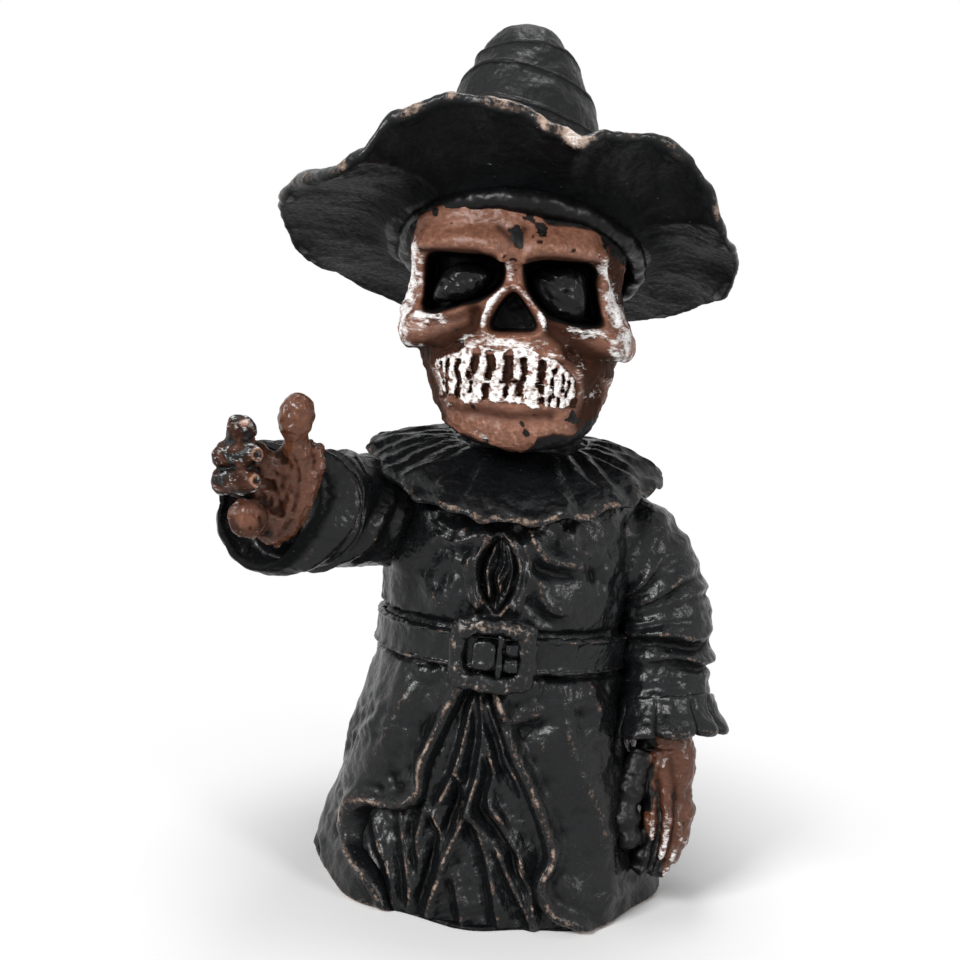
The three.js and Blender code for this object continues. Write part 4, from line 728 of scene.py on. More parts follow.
# White dragged on with a nearly dry brush: a line, its strength and half-width
WHITE_DRAGS = [
    ([(-0.5, 40.4), (-1, 43.6)], 0.8, 0.7), ([(-1, 43), (-1.5, 46.4)], 0.6, 1.2),
    (FRAME_RIGHT, 0.78, 2.8), (FRAME_LEFT, 0.78, 2.7),
    ([(-26.8, 34.5), (-28, 29.6), (-26, 27)], 0.8, 2.8), ([(-25, 24.9), (-22.8, 24.5)], 0.9, 1.1),
    ([(-27, 30.4), (-22, 31), (-17.2, 30.9)], 0.74, 1.9), ([(-23.2, 29.4), (-20.8, 27.8)], 0.5, 1.4),
    ([(14.4, 31.4), (19.2, 29.8), (24.1, 29.4)], 0.74, 1.9), ([(22, 26.6), (23.6, 25.4)], 0.5, 1.3),
    ([(25.6, 32), (26.8, 28.6), (25.7, 24.6)], 0.8, 2.8), (GUM_LINE[:8], 0.7, 1.5),
    ([(-13.2, 26.4), (-9.4, 27.8), (-4.5, 27.7)], 0.45, 1.3),
    ([(-2.1, 28.1), (2.7, 27.9), (7.6, 27.4)], 0.36, 1.0),
    ([(14.8, 19), (16.4, 23), (13, 26.5)], 0.42, 1.6), ([(16.8, 15.7), (19.7, 15), (22.9, 18.9)], 0.42, 1.5),
    ([(-9.4, 4.6), (-7, 3.4)], 0.4, 1.2), ([(-19.5, 19), (-18.5, 14), (-16, 10)], 0.42, 1.3),
]
FOREHEAD_EDGE = [(-30, 46), (-27.1, 47.8), (-23.8, 55.1), (-15.5, 58.4), (-5.2, 60.9), (1.6, 59.2),
                 (5.6, 57.9), (8.3, 54.9), (13.6, 55), (19.1, 54.5), (21.9, 52.4), (25.6, 48.4), (30, 46)]
JAW_EDGE = [(-26, 10), (-19.9, 4.6), (-12.5, 3.6), (-6, 1.4), (1.4, 0.2), (4.9, 2.7), (5.6, 4.5), (9.7, 5.8),
            (14.5, 5.4), (18, 8.1), (26, 14)]
# Lines of dark brown glaze that paint in the shade of the hollows: under the brows and cheekbones, beside
# nose and mouth, and at the temples
FACE_GLAZE_AND_SHADE = [
    ([(-25, 22), (-20.5, 22.6), (-15.5, 25)], 0.62, 3.6), ([(14.5, 26), (18.5, 23.6), (24.5, 22)], 0.62, 3.6),
    ([(-23.5, 20), (-22.5, 14), (-19.5, 7)], 0.5, 3.0), ([(18.5, 20.5), (19.5, 14.5), (17, 8)], 0.5, 3.0),
    ([(-9.4, 34), (-10, 30), (-14, 27.5)], 0.46, 2.4), ([(8.6, 34), (9.4, 30.5), (13, 28.2)], 0.5, 2.6),
    ([(-20, 30.4), (-14, 31.4), (-8.5, 34)], 0.3, 1.4), ([(7.5, 33.4), (12, 30.6), (18, 29.6)], 0.42, 1.6),
    ([(-21.5, 47.9), (-12, 48.9), (-4, 48.6)], 0.5, 0.8), ([(3.4, 48.6), (11, 48.8), (19, 48)], 0.5, 0.8),
    ([(-27.5, 44), (-28, 52), (-24.5, 57)], 0.5, 2.4), ([(23.5, 50), (25.5, 44), (26.5, 38)], 0.5, 2.4),
    ([(-3.5, 53.4), (-0.6, 51)], 0.36, 1.0), ([(2.6, 53.4), (1.6, 50.8)], 0.36, 1.0),
    ([(-18, 10.4), (-8, 9.8), (0, 9.4), (9, 10.4)], 0.3, 1.6),
]
WORN_SPOTS = [(0.9, 51.9, 1.5), (6.9, 53.7, 1.8), (3.9, 57.1, 1.4), (8.3, 47.9, 0.8), (21.5, 51.9, 1.4),
              (-18.4, 56.2, 0.8), (14.5, 9.7, 1.3), (3.2, 5.4, 1.1), (-6.8, 2.6, 1.2)]


def closed_through(outline, count):
    """Places on a closed smooth curve through an outline's points."""
    looped = np.vstack([outline[-1:], outline, outline[:2]])
    ends = 1 / (len(looped) - 1)
    return through(looped, np.linspace(ends, 1 - ends, count))


def within(u, v, outline):
    """How far a place lies inside a closed outline rounded by a spline, negative outside: the distance to its
    sides, signed by whether a level line from the place crosses the sides an odd number of times."""
    corners = closed_through(outline, 6 * len(outline))
    odd = np.zeros(np.shape(u), bool)
    for a, b in zip(corners[:-1], corners[1:]):
        if a[1] != b[1]:
            cross = a[0] + (v - a[1]) * (b[0] - a[0]) / (b[1] - a[1])
            odd ^= ((a[1] > v) != (b[1] > v)) & (u < cross)
    away = nearest_on(u, v, corners, smooth=False)[0]
    return np.where(odd, away, -away)


def drawn(u, v, lines):
    """How strongly a set of brush lines covers each place: the most of any line, which fades across it."""
    return np.max([strength * swell(nearest_on(u, v, line)[0], 0, width)
                   for line, strength, width in lines], axis=0)


def skull_surface(angle, t):
    """The plain skull in its own frame: a superellipse whose width, face and back follow the rows, pushed out
    at the brow, cheekbones, muzzle and nose and in at the temples and under the cheeks."""
    part, width, face, back = np.moveaxis(through(SKULL_ROWS, t), -1, 0)
    half_width = width * SKULL_SIZE[0]
    front = face * SKULL_SIZE[1]
    rear = back * SKULL_SIZE[2]
    side = np.abs(angle)
    across = (np.abs(np.sin(angle)) / half_width) ** 2.5
    ahead = (np.abs(np.cos(angle)) / ((front + rear) / 2)) ** 2.5
    radius = (across + ahead) ** (-1 / 2.5)
    radius += 2.2 * swell(part, 0.69, 0.045) * swell(side, 0, 0.8)
    radius += 3.4 * swell(part, 0.375, 0.075) * swell(side, 1.1, 0.4)
    radius += 1.6 * swell(part, 0.26, 0.1) * swell(side, 0, 0.55)
    radius += 1.4 * swell(part, 0.45, 0.06) * swell(side, 0, 0.2)
    radius -= 2.4 * swell(part, 0.22, 0.07) * swell(side, 1.05, 0.3)
    radius -= 1.2 * swell(part, 0.56, 0.08) * swell(side, 1.35, 0.35)
    depth = (rear - front) / 2 - radius * np.cos(angle)
    return np.stack([radius * np.sin(angle), depth, part * SKULL_SIZE[3]], axis=-1)


def on_head(points):
    """From the skull's frame to the figure's: leaned to one side, turned a little and set on the neck."""
    x = points[..., 0] + LEAN * points[..., 2]
    turned_x = np.cos(TURN) * x - np.sin(TURN) * points[..., 1]
    turned_y = np.sin(TURN) * x + np.cos(TURN) * points[..., 1]
    return np.stack([SKULL_X + turned_x, turned_y, CHIN + points[..., 2]], axis=-1)


# Copper acrylic over a black ground: brushed on thinly, so it streaks from brown to a pale copper pink
copper_acrylic = painted_resin(
    "copper_acrylic_over_resin", ground="#835b4a", thin="#5f3c2d", rub="#9a6f5c", rub_bright="#cfa996",
    glaze_and_shade_colour="#2a160d", paint="#0b0a0a", roughness=0.4, gloss=0.36, depth=0.2)

skull_side = np.array(SKULL_ROWS)[:, :2] * (SKULL_SIZE[3], SKULL_SIZE[0])
angle, level = np.meshgrid(crowded(330), evenly(skull_side, 290))
skull = skull_surface(angle, level)
x, z = skull[..., 0], skull[..., 2]
ahead = ease(np.cos(angle), -0.1, 0.25)
socket = np.maximum(within(x, z, SOCKET_RIGHT), within(x, z, SOCKET_LEFT))
nose = within(x, z, NOSE_HOLE)
bite = z - 18.6 + JAW_BEND * (x / JAW_HALF_WIDTH) ** 2
mouth = ease(1.5 - np.abs(bite) / 5.4, 0.45, 0.62) * ease(18.4 - np.abs(x + 2), 0, 2)
relief = sum(ridge(x, z, *line) for line in HOLLOWS)
relief += sum(rise * swell(nearest_on(x, z, line)[0], 0, width) for line, rise, width in BROWS)
relief += ridge(x, z, FRAME_RIGHT, 1.2, 1.7) + ridge(x, z, FRAME_LEFT, 1.2, 1.7)
for lobe_x, lobe_z, lobe_radius, lobe_height in CHEEK_LOBES:
    relief += lobe_height * swell(np.hypot(x - lobe_x, z - lobe_z), 0, lobe_radius)
relief += ridge(x, z, GUM_LINE[:8], 0.7, 1.3)
relief += 0.9 * swell(socket, -1.0, 0.9) + 1.4 * swell(nose, -1.2, 0.95)
relief = relief * ahead - 3.0 * (1 - ahead) * ease(z, 38, 50)
relief += 0.14 * waves(skull, 8, 71) + 0.10 * waves(skull, 3.4, 72) + 0.05 * waves(skull, 1.5, 73)
sunk = SOCKET_DEPTH * ease(socket, -0.3, 1.6) + NOSE_DEPTH * ease(nose, -0.4, 0.9) + MOUTH_DEPTH * mouth
skull = raised(skull, False, relief)
skull[..., 1] += sunk * ahead
proud = stands_out(skull, False, 45)
spots = np.zeros_like(x)
for spot_x, spot_z, spot_size in WORN_SPOTS:
    spots = np.maximum(spots, swell(np.hypot(x - spot_x, 0.7 * (z - spot_z)), 0, spot_size))
spots = ease(spots + 0.2 * waves(skull, 2.4, 75), 0.52, 0.6)
hairline = np.interp(x, *np.transpose(FOREHEAD_EDGE)) + (1 - ahead) * (2 * waves(skull, 9, 76) - 20)
scalp = ease(z - hairline, -0.6, 0.8)
under = ease(np.interp(x, *np.transpose(JAW_EDGE)) - z, -0.8, 0.8)
pressed = np.maximum(ease(socket, -0.5, 0.5), ease(nose, -0.2, 0.6)) * ahead
bare = np.maximum.reduce([scalp, under, pressed])
white = np.maximum(0.74 * swell(nose, -1.2, 0.9) * ease(z, 28.8, 30.6), drawn(x, z, WHITE_DRAGS))
white *= ahead * (1 - bare) * (0.8 + 0.24 * waves(skull, 4, 74))
# Painted shade: a dark brown glaze along the lines above and in the hollows of the face, and darker round the
# sides and back; the black scalp, jaw edge, sockets, nose and worn spots are real black paint
face_glaze_and_shade = np.clip(1.5 * drawn(x, z, FACE_GLAZE_AND_SHADE) + 0.4 * ease(-proud, 0.15, 1.0), 0, 0.68)
wash = np.maximum(bare, spots * ahead) + face_glaze_and_shade * ahead + 0.34 * (1 - ahead)
rub = 0.28 * np.clip(proud / 0.6, 0, 1) * (1 - 0.75 * ease(z, 50, 54)) + 0.05
rub += 0.22 * ease(-z, -14, -7) * ahead
skull_piece = grid_piece("skull_cast", on_head(skull), copper_acrylic, rub=rub, wash=wash, white=white)
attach(skull_piece, "root")
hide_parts("skull")

# Teeth
# Two curved strips let into the jaw, one above the other. The teeth stand up from them as rough bars that
# run together here and there, nearly white, with the slots between them painted dark as shade.
TEETH_OUTLINE = [
    (-15.5, 23), (-12.5, 24.5), (-10.5, 26.5), (-8, 26), (-5.5, 25.5), (-2, 25.5), (2.5, 26.5), (5.5, 26.5),
    (8, 26), (10, 24.5), (12.5, 21.5), (14.5, 19.5), (15, 17), (14.5, 14.5), (13, 12.5), (10.5, 12), (8, 12),
    (5, 11.5), (2, 12.5), (-1.5, 12.5), (-5, 12.5), (-8.5, 12), (-12, 11.5), (-15, 13), (-17.5, 13),
    (-19, 15.5), (-20, 18.5), (-19, 21),
]
# Each slot between two teeth is a line and its half-width
TOOTH_SLOTS = [
    ([(-18, 20.5), (-18, 17.5), (-17.5, 15.5)], 0.3), ([(-16, 21.5), (-16.5, 19.5), (-16.5, 12.5)], 0.4),
    ([(-13.5, 21.5), (-14, 19.5), (-13.5, 17.5), (-14, 12)], 0.6), ([(-11, 19), (-11, 18)], 0.5),
    ([(-10.5, 16.5), (-10.5, 14.5)], 0.5), ([(-9, 24), (-9.5, 19.5)], 1.0), ([(-6.5, 16.5), (-7, 12)], 0.9),
    ([(-5.5, 23.5), (-5.5, 20.5)], 1.2), ([(-5.5, 20), (-6.5, 18)], 0.7), ([(-3, 17.5), (2, 18)], 0.5),
    ([(-2, 16), (-2, 14.5)], 0.6), ([(-1, 24), (-1.5, 18.5)], 1.2), ([(1.5, 17), (1.5, 15)], 0.9),
    ([(2.5, 23), (2.5, 19)], 0.9), ([(6.5, 18), (6.5, 16)], 0.8), ([(6.5, 14), (7, 11.5)], 0.5),
    ([(7, 22.5), (6.5, 19)], 1.0), ([(9, 15), (8.5, 12)], 0.4), ([(10.5, 22), (9.5, 19.5), (9.5, 15)], 0.4),
    ([(11, 14.5), (10.5, 11.5)], 0.3), ([(12, 20), (12, 16.5)], 0.3), ([(13.5, 18.5), (12.5, 15)], 0.3),
]
TOOTH_HEIGHT = 1.9
STRIP_ENDS = (-20.8, 16.4)
STRIP_SINK = 1.0
STRIP_BACK = 3.2
face_levels = np.linspace(4, 40, 120)
face_places = np.linspace(-24, 24, 160)
half_turn = np.linspace(-1.5, 1.5, 300)
fine_t = np.linspace(0, 1, 900)
level_t = np.interp(face_levels, through(SKULL_ROWS, fine_t)[:, 0] * SKULL_SIZE[3], fine_t)
face_sections = [skull_surface(half_turn, np.full(300, t)) for t in level_t]
face_depths = np.array([np.interp(face_places, cut[:, 0], cut[:, 1]) for cut in face_sections])


def face_front(x, z):
    """Depth of the plain face at a place seen from the front, read between the rows of a measured grid."""
    column = np.interp(x, face_places, np.arange(len(face_places))).clip(0, len(face_places) - 1.001)
    level = np.interp(z, face_levels, np.arange(len(face_levels))).clip(0, len(face_levels) - 1.001)
    i, j = level.astype(int), column.astype(int)
    f, g = level - i, column - j
    low = face_depths[i, j] * (1 - g) + face_depths[i, j + 1] * g
    high = face_depths[i + 1, j] * (1 - g) + face_depths[i + 1, j + 1] * g
    return low * (1 - f) + high * f


def teeth_strip(name, node_name, low, high):
    """A strip along the jaw over x and height: its face stands a tooth's height prouder inside the outline of
    the teeth than in the slots between them, with soft sides, and each row's loop runs back behind it."""
    across, up = np.meshgrid(np.linspace(*STRIP_ENDS, 360), np.linspace(0, 1, 76))
    z = low + (high - low) * up - JAW_BEND * ((across + 1.5) / JAW_HALF_WIDTH) ** 2
    strip = np.stack([across, face_front(across, z) + STRIP_SINK, z], axis=-1)
    uneven = 0.16 * waves(strip, 2.6, 81) + 0.08 * waves(strip, 1.1, 82)
    tooth = ease(within(across, z, TEETH_OUTLINE) + uneven, -0.3, 0.5)
    for line, half in TOOTH_SLOTS:
        tooth = np.minimum(tooth, ease(nearest_on(across, z, line)[0] - half + uneven, -0.4, 0.35))
    strip[..., 1] -= TOOTH_HEIGHT * tooth + 0.14 * waves(strip, 2.2, 83) + 0.07 * waves(strip, 1.1, 84)
    rear = np.stack([across, face_front(across, z) + STRIP_BACK, z], axis=-1)[:, ::-1]
    grid = np.concatenate([strip, rear], axis=1)
    blank = np.zeros_like(tooth)
    white = np.concatenate([tooth * (0.68 + 0.15 * waves(strip, 2.2, 85)), blank], axis=1)
    # Painted shade in the slots between the teeth; the hidden back of the strip is black
    slot_shade_and_black_back = np.concatenate([0.72 * (1 - tooth), blank + 1], axis=1)
    piece = grid_piece(name, on_head(grid), copper_acrylic, wash=slot_shade_and_black_back, white=white)
    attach(piece, "root")
    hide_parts(node_name)


teeth_strip("upper_teeth_strip", "upper_teeth", 18.15, 26.6)
teeth_strip("lower_teeth_strip", "lower_teeth", 11.4, 18.12)

# Eyes
# Rough lumps of resin pressed and glued into the sockets and flooded with gloss black, so they catch sharp
# broken lights.
EYE_RIGHT = [(-18.8, 35.8), (-17.4, 40.5), (-13.2, 43.8), (-7.5, 43.6), (-6.5, 41.3), (-11.4, 37.6)]
EYE_LEFT = [(5.1, 42.3), (8, 44.6), (15, 44.6), (16.4, 41.3), (16, 34.6), (11.2, 34.2), (6.3, 39)]
EYE_DEPTH = 6.2
EYE_MIDDLE = -26.2
EYE_MARGIN = 1.3
# A flood of varnish over black: smooth on its high spots, and almost without light in its dents
gloss_black = painted_resin(
    "gloss_black_varnish", ground="#101012", thin="#09090a", rub="#3a3633", rub_bright="#5d5751",
    glaze_and_shade_colour="#050506", paint="#020203", roughness=0.26, gloss=0.3, depth=0.2)
for name, node_name, outline in [
    ("eye_lump_right", "right_eye", EYE_RIGHT),
    ("eye_lump_left", "left_eye", EYE_LEFT),
]:
    middle = np.mean(outline, axis=0)
    rim = closed_through(outline, 200) - middle
    rim_turn = np.arctan2(rim[:, 1], rim[:, 0])
    order = np.argsort(rim_turn)
    down, around = np.meshgrid(np.linspace(0.02, np.pi - 0.02, 90),
                               np.linspace(-np.pi, np.pi, 150, endpoint=False), indexing="ij")
    half = np.interp(around, rim_turn[order], np.hypot(*rim.T)[order], period=2 * np.pi) + EYE_MARGIN
    flat = rounded(np.sin(down), 0.7) * half
    eye = np.stack([middle[0] + flat * np.cos(around), EYE_MIDDLE - EYE_DEPTH * np.cos(down),
                    middle[1] + flat * np.sin(around)], axis=-1)
    dents = 0.4 * np.abs(waves(eye, 6, 91)) + 0.08 * waves(eye, 2.6, 92)
    eye[..., 1] += dents * np.cos(down)
    piece = grid_piece(name, on_head(eye), gloss_black, rub=0.05 + 0 * down)
    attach(piece, "root")
    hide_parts(node_name)

# Hat
# A soft slouched hat cast in one and glued over the skull: a blunt cone wrapped in overlapping turns, and a
# wide brim that rises over the brow and dips at either side. Its edge is chipped down to the copper, and
# strokes of the modelling tool run out under its sides.
CROWN_RADIUS = 31
CROWN_HEIGHT = 54.8
CROWN_SLANT = 1.5
BRIM_RADIUS = 60.5
HAT_TILT = 0.4
HAT_PLACE = (-5, 0, 174)
HAT_PROFILE = [
    (0.3, 54.8), (3, 54.6), (5.6, 54), (9.3, 51.8), (12.4, 48.5), (14.3, 45.3), (16.4, 40.6), (18.4, 36.2),
    (20.5, 30.1), (22.5, 24.4), (24.3, 18.6), (26.2, 13.7), (28, 8.2), (31, 3.9), (35.7, 1.8), (42.8, 1.1),
    (51.7, 1.3), (57.5, 1.7), (59.8, 1.2), (60.5, 0), (59.8, -1.3), (58.5, -1.7), (51.7, -1.9), (42.8, -2.6),
    (37.5, -4.2), (34.2, -6.4), (32, -7), (29, -7.1),
]
# Angle from the front in degrees and the brim's lift there in mm
BRIM_LIFT = [
    (-180, -2.5), (-141, -3), (-124, -2.3), (-105, -4.7), (-85, -3), (-60, -6), (-38, -10), (-30, -7.5),
    (-22, 0.7), (-9, 5), (5, 3), (14, -1), (19.5, -2.9), (26, 1.2), (38, 4.4), (47, 4), (56, 0.5), (63, -6),
    (70, -7.5), (85, -5), (100, -6.7), (119, -4), (140, -2.4), (180, -2.5),
]
# Height of the lip of each turn of the crown, its wander, and how far it stands out
CROWN_TURNS = [(46.3, 0.8, 1.0), (37, 1.1, 1.2), (25.2, 1.3, 1.2), (14.5, 0.9, 1.0)]
# Chips on the brim's edge: angle, distance from the middle, length along the edge, width and strength
BRIM_CHIPS = [
    (-140, 60, 2.2, 0.8, 0.6), (-70, 60.2, 2.0, 0.7, 0.5), (-53, 58.6, 4.2, 1.7, 0.75),
    (-34, 60, 1.6, 0.7, 0.55), (-18, 60.3, 2.6, 0.5, 0.6), (-9, 60.3, 1.7, 0.5, 0.5),
    (2, 60.2, 3.4, 0.6, 0.6), (11, 60.2, 1.6, 0.8, 0.9), (18, 60.2, 3.4, 1.5, 1.0),
    (44, 59.8, 2.2, 0.6, 0.6), (60, 60, 1.6, 0.7, 0.5), (150, 60, 2.5, 0.8, 0.6),
]


def eased_between(rows, key):
    """The value at a key between the rows of a table, easing in and out of each row."""
    keys, values = np.transpose(rows)
    i = np.clip(np.searchsorted(keys, key, side="right") - 1, 0, len(keys) - 2)
    share = ease(key, keys[i], keys[i + 1])
    return values[i] + (values[i + 1] - values[i]) * share


def tipped(x, y, z):
    """Places in the hat's frame, tipped back and set on the skull."""
    back = np.cos(HAT_TILT) * y + np.sin(HAT_TILT) * z
    up = -np.sin(HAT_TILT) * y + np.cos(HAT_TILT) * z
    return np.stack([x, back, up], axis=-1) + HAT_PLACE


def on_hat(points):
    """From the hat's frame to the figure's: the brim waves with the angle, the crown slouches forward and to
    one side, and the whole is tipped back."""
    x, y, z = np.moveaxis(points, -1, 0)
    angle = np.degrees(np.arctan2(x, -y))
    reach = np.clip((np.hypot(x, y) - CROWN_RADIUS) / (BRIM_RADIUS - CROWN_RADIUS), 0, 1.1)
    crown = np.clip(z / CROWN_HEIGHT, 0, 1)
    x = x - 3 * reach - 3.3 * crown
    y = y - 6.9 * crown ** 2
    z = z + CROWN_SLANT * np.cos(np.radians(angle) + 0.6) * np.sin(np.pi * crown)
    z = z + eased_between(BRIM_LIFT, angle) * reach ** 1.6
    return tipped(x, y, z)


angle, run = np.meshgrid(crowded(440), evenly(HAT_PROFILE, 215))
profile = through(HAT_PROFILE, run)
radius, height = profile[..., 0], profile[..., 1]
hat = np.stack([radius * np.sin(angle), -radius * np.cos(angle), height], axis=-1)
brim_edge = HAT_PROFILE.index((60.5, 0)) / (len(HAT_PROFILE) - 1)
below = ease(run, brim_edge, brim_edge + 0.04)
turns = 0 * angle
lip_line = 0 * angle
for level, wander, push in CROWN_TURNS:
    off = height - level + wander * (np.sin(2 * angle + level) + 0.5 * np.sin(3 * angle - level))
    lip = ease(off, -0.7, 0.5) * np.exp(-np.clip(off, 0, None) / 5)
    turns += push * (lip - 0.4 * swell(off, -1.6, 1.2))
    lip_line = np.maximum(lip_line, swell(off, 0.2, 0.5))
on_crown = ease(height, 4, 10) * (1 - below) * ease(54 - height, 0, 4)
spokes = np.stack([9 * np.cos(angle), 9 * np.sin(angle), radius / 14], axis=-1)
beside = ease(np.abs(np.sin(angle)), 0.8, 0.95)
streaks = beside * (0.04 * waves(spokes, 1.0, 101) + 0.02 * waves(spokes, 0.45, 102))
relief = on_crown * turns + below * streaks * ease(radius, 33, 40)
relief += 0.22 * waves(hat, 17, 103) + 0.10 * waves(hat, 7, 104) + 0.03 * waves(hat, 2.4, 105)
edge = ease(radius, 57.5, 60)
relief += edge * (0.10 * waves(hat, 6, 106) + 0.05 * waves(hat, 2.2, 107))
chips = 0 * angle
for degrees, place, length, width, strength in BRIM_CHIPS:
    along = wrapped(angle - np.radians(degrees)) * place
    chip = swell(along, 0, length) * swell(radius, place, width) * ease(height, -6, 2)
    chips = np.maximum(chips, strength * chip)
relief -= 0.45 * chips
relief *= ease(radius, 0, 4)
hat = raised(on_hat(hat), False, relief)
proud = stands_out(hat, False, 30)
rub = 1.1 * chips + patches(hat, 8, 108) * (0.4 * lip_line * on_crown + 0.36 * ease(radius, 59.2, 60.2))
rub += 0.1 * np.clip(proud / 0.6, 0, 1) * (1 - below)
# Painted shade: the hat darkens in its hollows and under the brim, most towards the head; the crown is also
# glazed darker and matt all over
wash = 0.8 * ease(-proud, 0.15, 0.8) * (1 - edge) + below * (0.46 + 0.24 * ease(46 - radius, 0, 12))
wash += 0.28 * on_crown
wash *= 1 - np.clip(1.5 * chips, 0, 1)
hat_piece = grid_piece("hat_cast", hat, black_acrylic, rub=rub, wash=wash,
                       white=0.6 * chips * swell(np.degrees(angle), 18, 4))
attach(hat_piece, "root")
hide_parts("hat")

# Hat band
# The soft roll of the hat's inner edge where it sits on the forehead, cast in resin as a ring, glued under
# the hat and painted gloss black.
BAND_RADIUS = 2.6
BAND_HALF_WIDTH = 30.2
BAND_HALF_DEPTH = 33.9
BAND_MIDDLE = (1.6, -1, -7.7)
section, angle = np.meshgrid(full_turn(44),
                             np.linspace(-np.pi, np.pi, 360, endpoint=False), indexing="ij")
thick = BAND_RADIUS * (1 + 0.10 * np.sin(3 * angle + 1) + 0.06 * np.sin(7 * angle))
out = thick * np.cos(section)
band = np.stack([(BAND_HALF_WIDTH + out) * np.sin(angle), -(BAND_HALF_DEPTH + out) * np.cos(angle),
                 thick * np.sin(section)], axis=-1) + BAND_MIDDLE
band = raised(band, True, 0.15 * waves(band, 7, 111) + 0.05 * waves(band, 2.5, 112))
band = tipped(*np.moveaxis(band, -1, 0))
band_piece = grid_piece("hat_roll", band, gloss_black, ring=True, wash=0.2 + 0 * angle)
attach(band_piece, "root")
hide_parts("hat_band")

# Sleeves
# Two cast arms plugged into the shoulders. The right one reaches forward and hangs in wide loose folds, the
# left one hangs down, wrinkled at the elbow and rolled twice below it.
SLEEVE_RADIUS = 14
RIGHT_ARM = [(-22, -2, 97), (-37, -16, 98.5), (-47, -34, 101), (-49.5, -46, 103)]
LEFT_ARM = [(21, 0, 95), (34, -2, 91), (41.5, -4, 78), (43.5, -7.5, 62), (45.5, -11, 50)]


def carried(path, around, along, up):
    """A frame carried along a spline: places t, the angle round it, the centres and two ways across it."""
    turn, t = np.meshgrid(full_turn(around), np.linspace(0, 1, along))
    centre = through(path, t)
    tangent = through(path, np.minimum(t + 0.002, 1)) - through(path, np.maximum(t - 0.002, 0))
    tangent /= np.linalg.norm(tangent, axis=-1, keepdims=True)
    side = np.cross(np.broadcast_to(np.asarray(up, float), tangent.shape), tangent)
    side /= np.linalg.norm(side, axis=-1, keepdims=True)
    over = np.cross(tangent, side)
    return t, turn, centre, side, over


def swept(centre, side, over, turn, radius):
    """The surface at a radius round a carried frame."""
    return centre + radius[..., None] * (np.cos(turn)[..., None] * side + np.sin(turn)[..., None] * over)


def sleeve(name, node_name, path, up, width, folds, seed):
    """A cloth tube along the arm: a round section that narrows, with slanting folds that come and go round
    it. Each fold has a place along the arm, its slant, the angle it slants to, its height and its width."""
    t, turn, centre, side, over = carried(path, 240, 260, up)
    radius = width(t)
    crest = 0 * t
    trough = 0 * t
    for number, (place, slant, start, height, spread) in enumerate(folds):
        wander = 0.3 * spread * (np.sin(3 * turn + 2.3 * number) + np.sin(5 * turn + 1.1 * number))
        off = t - place - slant * np.cos(turn - start) - wander
        fade = 0.65 + 0.35 * np.sin(2 * turn + 1.9 * number)
        uneven = np.where(off > 0, 0.75, 1.5)
        lift = swell(off, 0, spread * uneven) - 0.5 * swell(off, 1.7 * spread, spread)
        radius = radius + height * fade * lift
        crest = np.maximum(crest, fade * swell(off, 0, 0.009))
        # Painted shade in the trough behind each fold
        trough = np.maximum(trough, 0.3 * height * fade * swell(off, 1.8 * spread, 0.8 * spread))
    grid = swept(centre, side, over, turn, radius)
    rough = 0.16 * waves(grid, 11, seed) + 0.07 * waves(grid, 4, seed + 1) + 0.03 * waves(grid, 1.8, seed + 2)
    grid = raised(grid, False, rough)
    proud = stands_out(grid, False, 30)
    rub = 0.34 * crest * patches(grid, 8, seed + 3) + 0.16 * np.clip(proud / 0.6, 0, 1)
    # Painted shade: darker in the hollows and fold troughs
    piece = grid_piece(name, grid, black_acrylic, rub=rub, wash=0.8 * ease(-proud, 0.1, 0.6) + trough)
    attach(piece, "root")
    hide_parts(node_name)


sleeve("right_sleeve_folds", "right_sleeve", RIGHT_ARM, (0, 0, 1),
       lambda t: SLEEVE_RADIUS * (1.08 - 0.13 * t), [
    (0.36, 0.13, -1.4, 1.5, 0.05), (0.50, 0.15, -1.5, 1.8, 0.045), (0.63, 0.14, -1.2, 2.0, 0.04),
    (0.75, 0.12, -1.7, 1.9, 0.036), (0.87, 0.04, -1.4, 2.0, 0.034),
], 121)
sleeve("left_sleeve_rolls", "left_sleeve", LEFT_ARM, (0, 1, 0),
       lambda t: SLEEVE_RADIUS * (1.02 - 0.2 * t), [
    (0.20, 0.07, 0.2, 0.9, 0.03), (0.29, 0.06, 0.1, 1.0, 0.024), (0.365, 0.06, 0.3, 1.1, 0.02),
    (0.43, 0.045, 0.0, 1.0, 0.018), (0.49, 0.03, 0.2, 0.8, 0.016), (0.545, 0.015, 0.0, 0.6, 0.014),
    (0.605, 0.0, 0.0, 2.3, 0.024), (0.70, 0.0, 0.0, 2.1, 0.024), (0.80, 0.02, 0.4, 0.5, 0.03),
    (0.895, 0.01, 0.0, 1.2, 0.03),
], 131)

# Cuffs
# A flared cuff on the right wrist and a gathered frill on the left, cast as rings and glued over the ends
# of the sleeves, their thin lips rubbed bare.


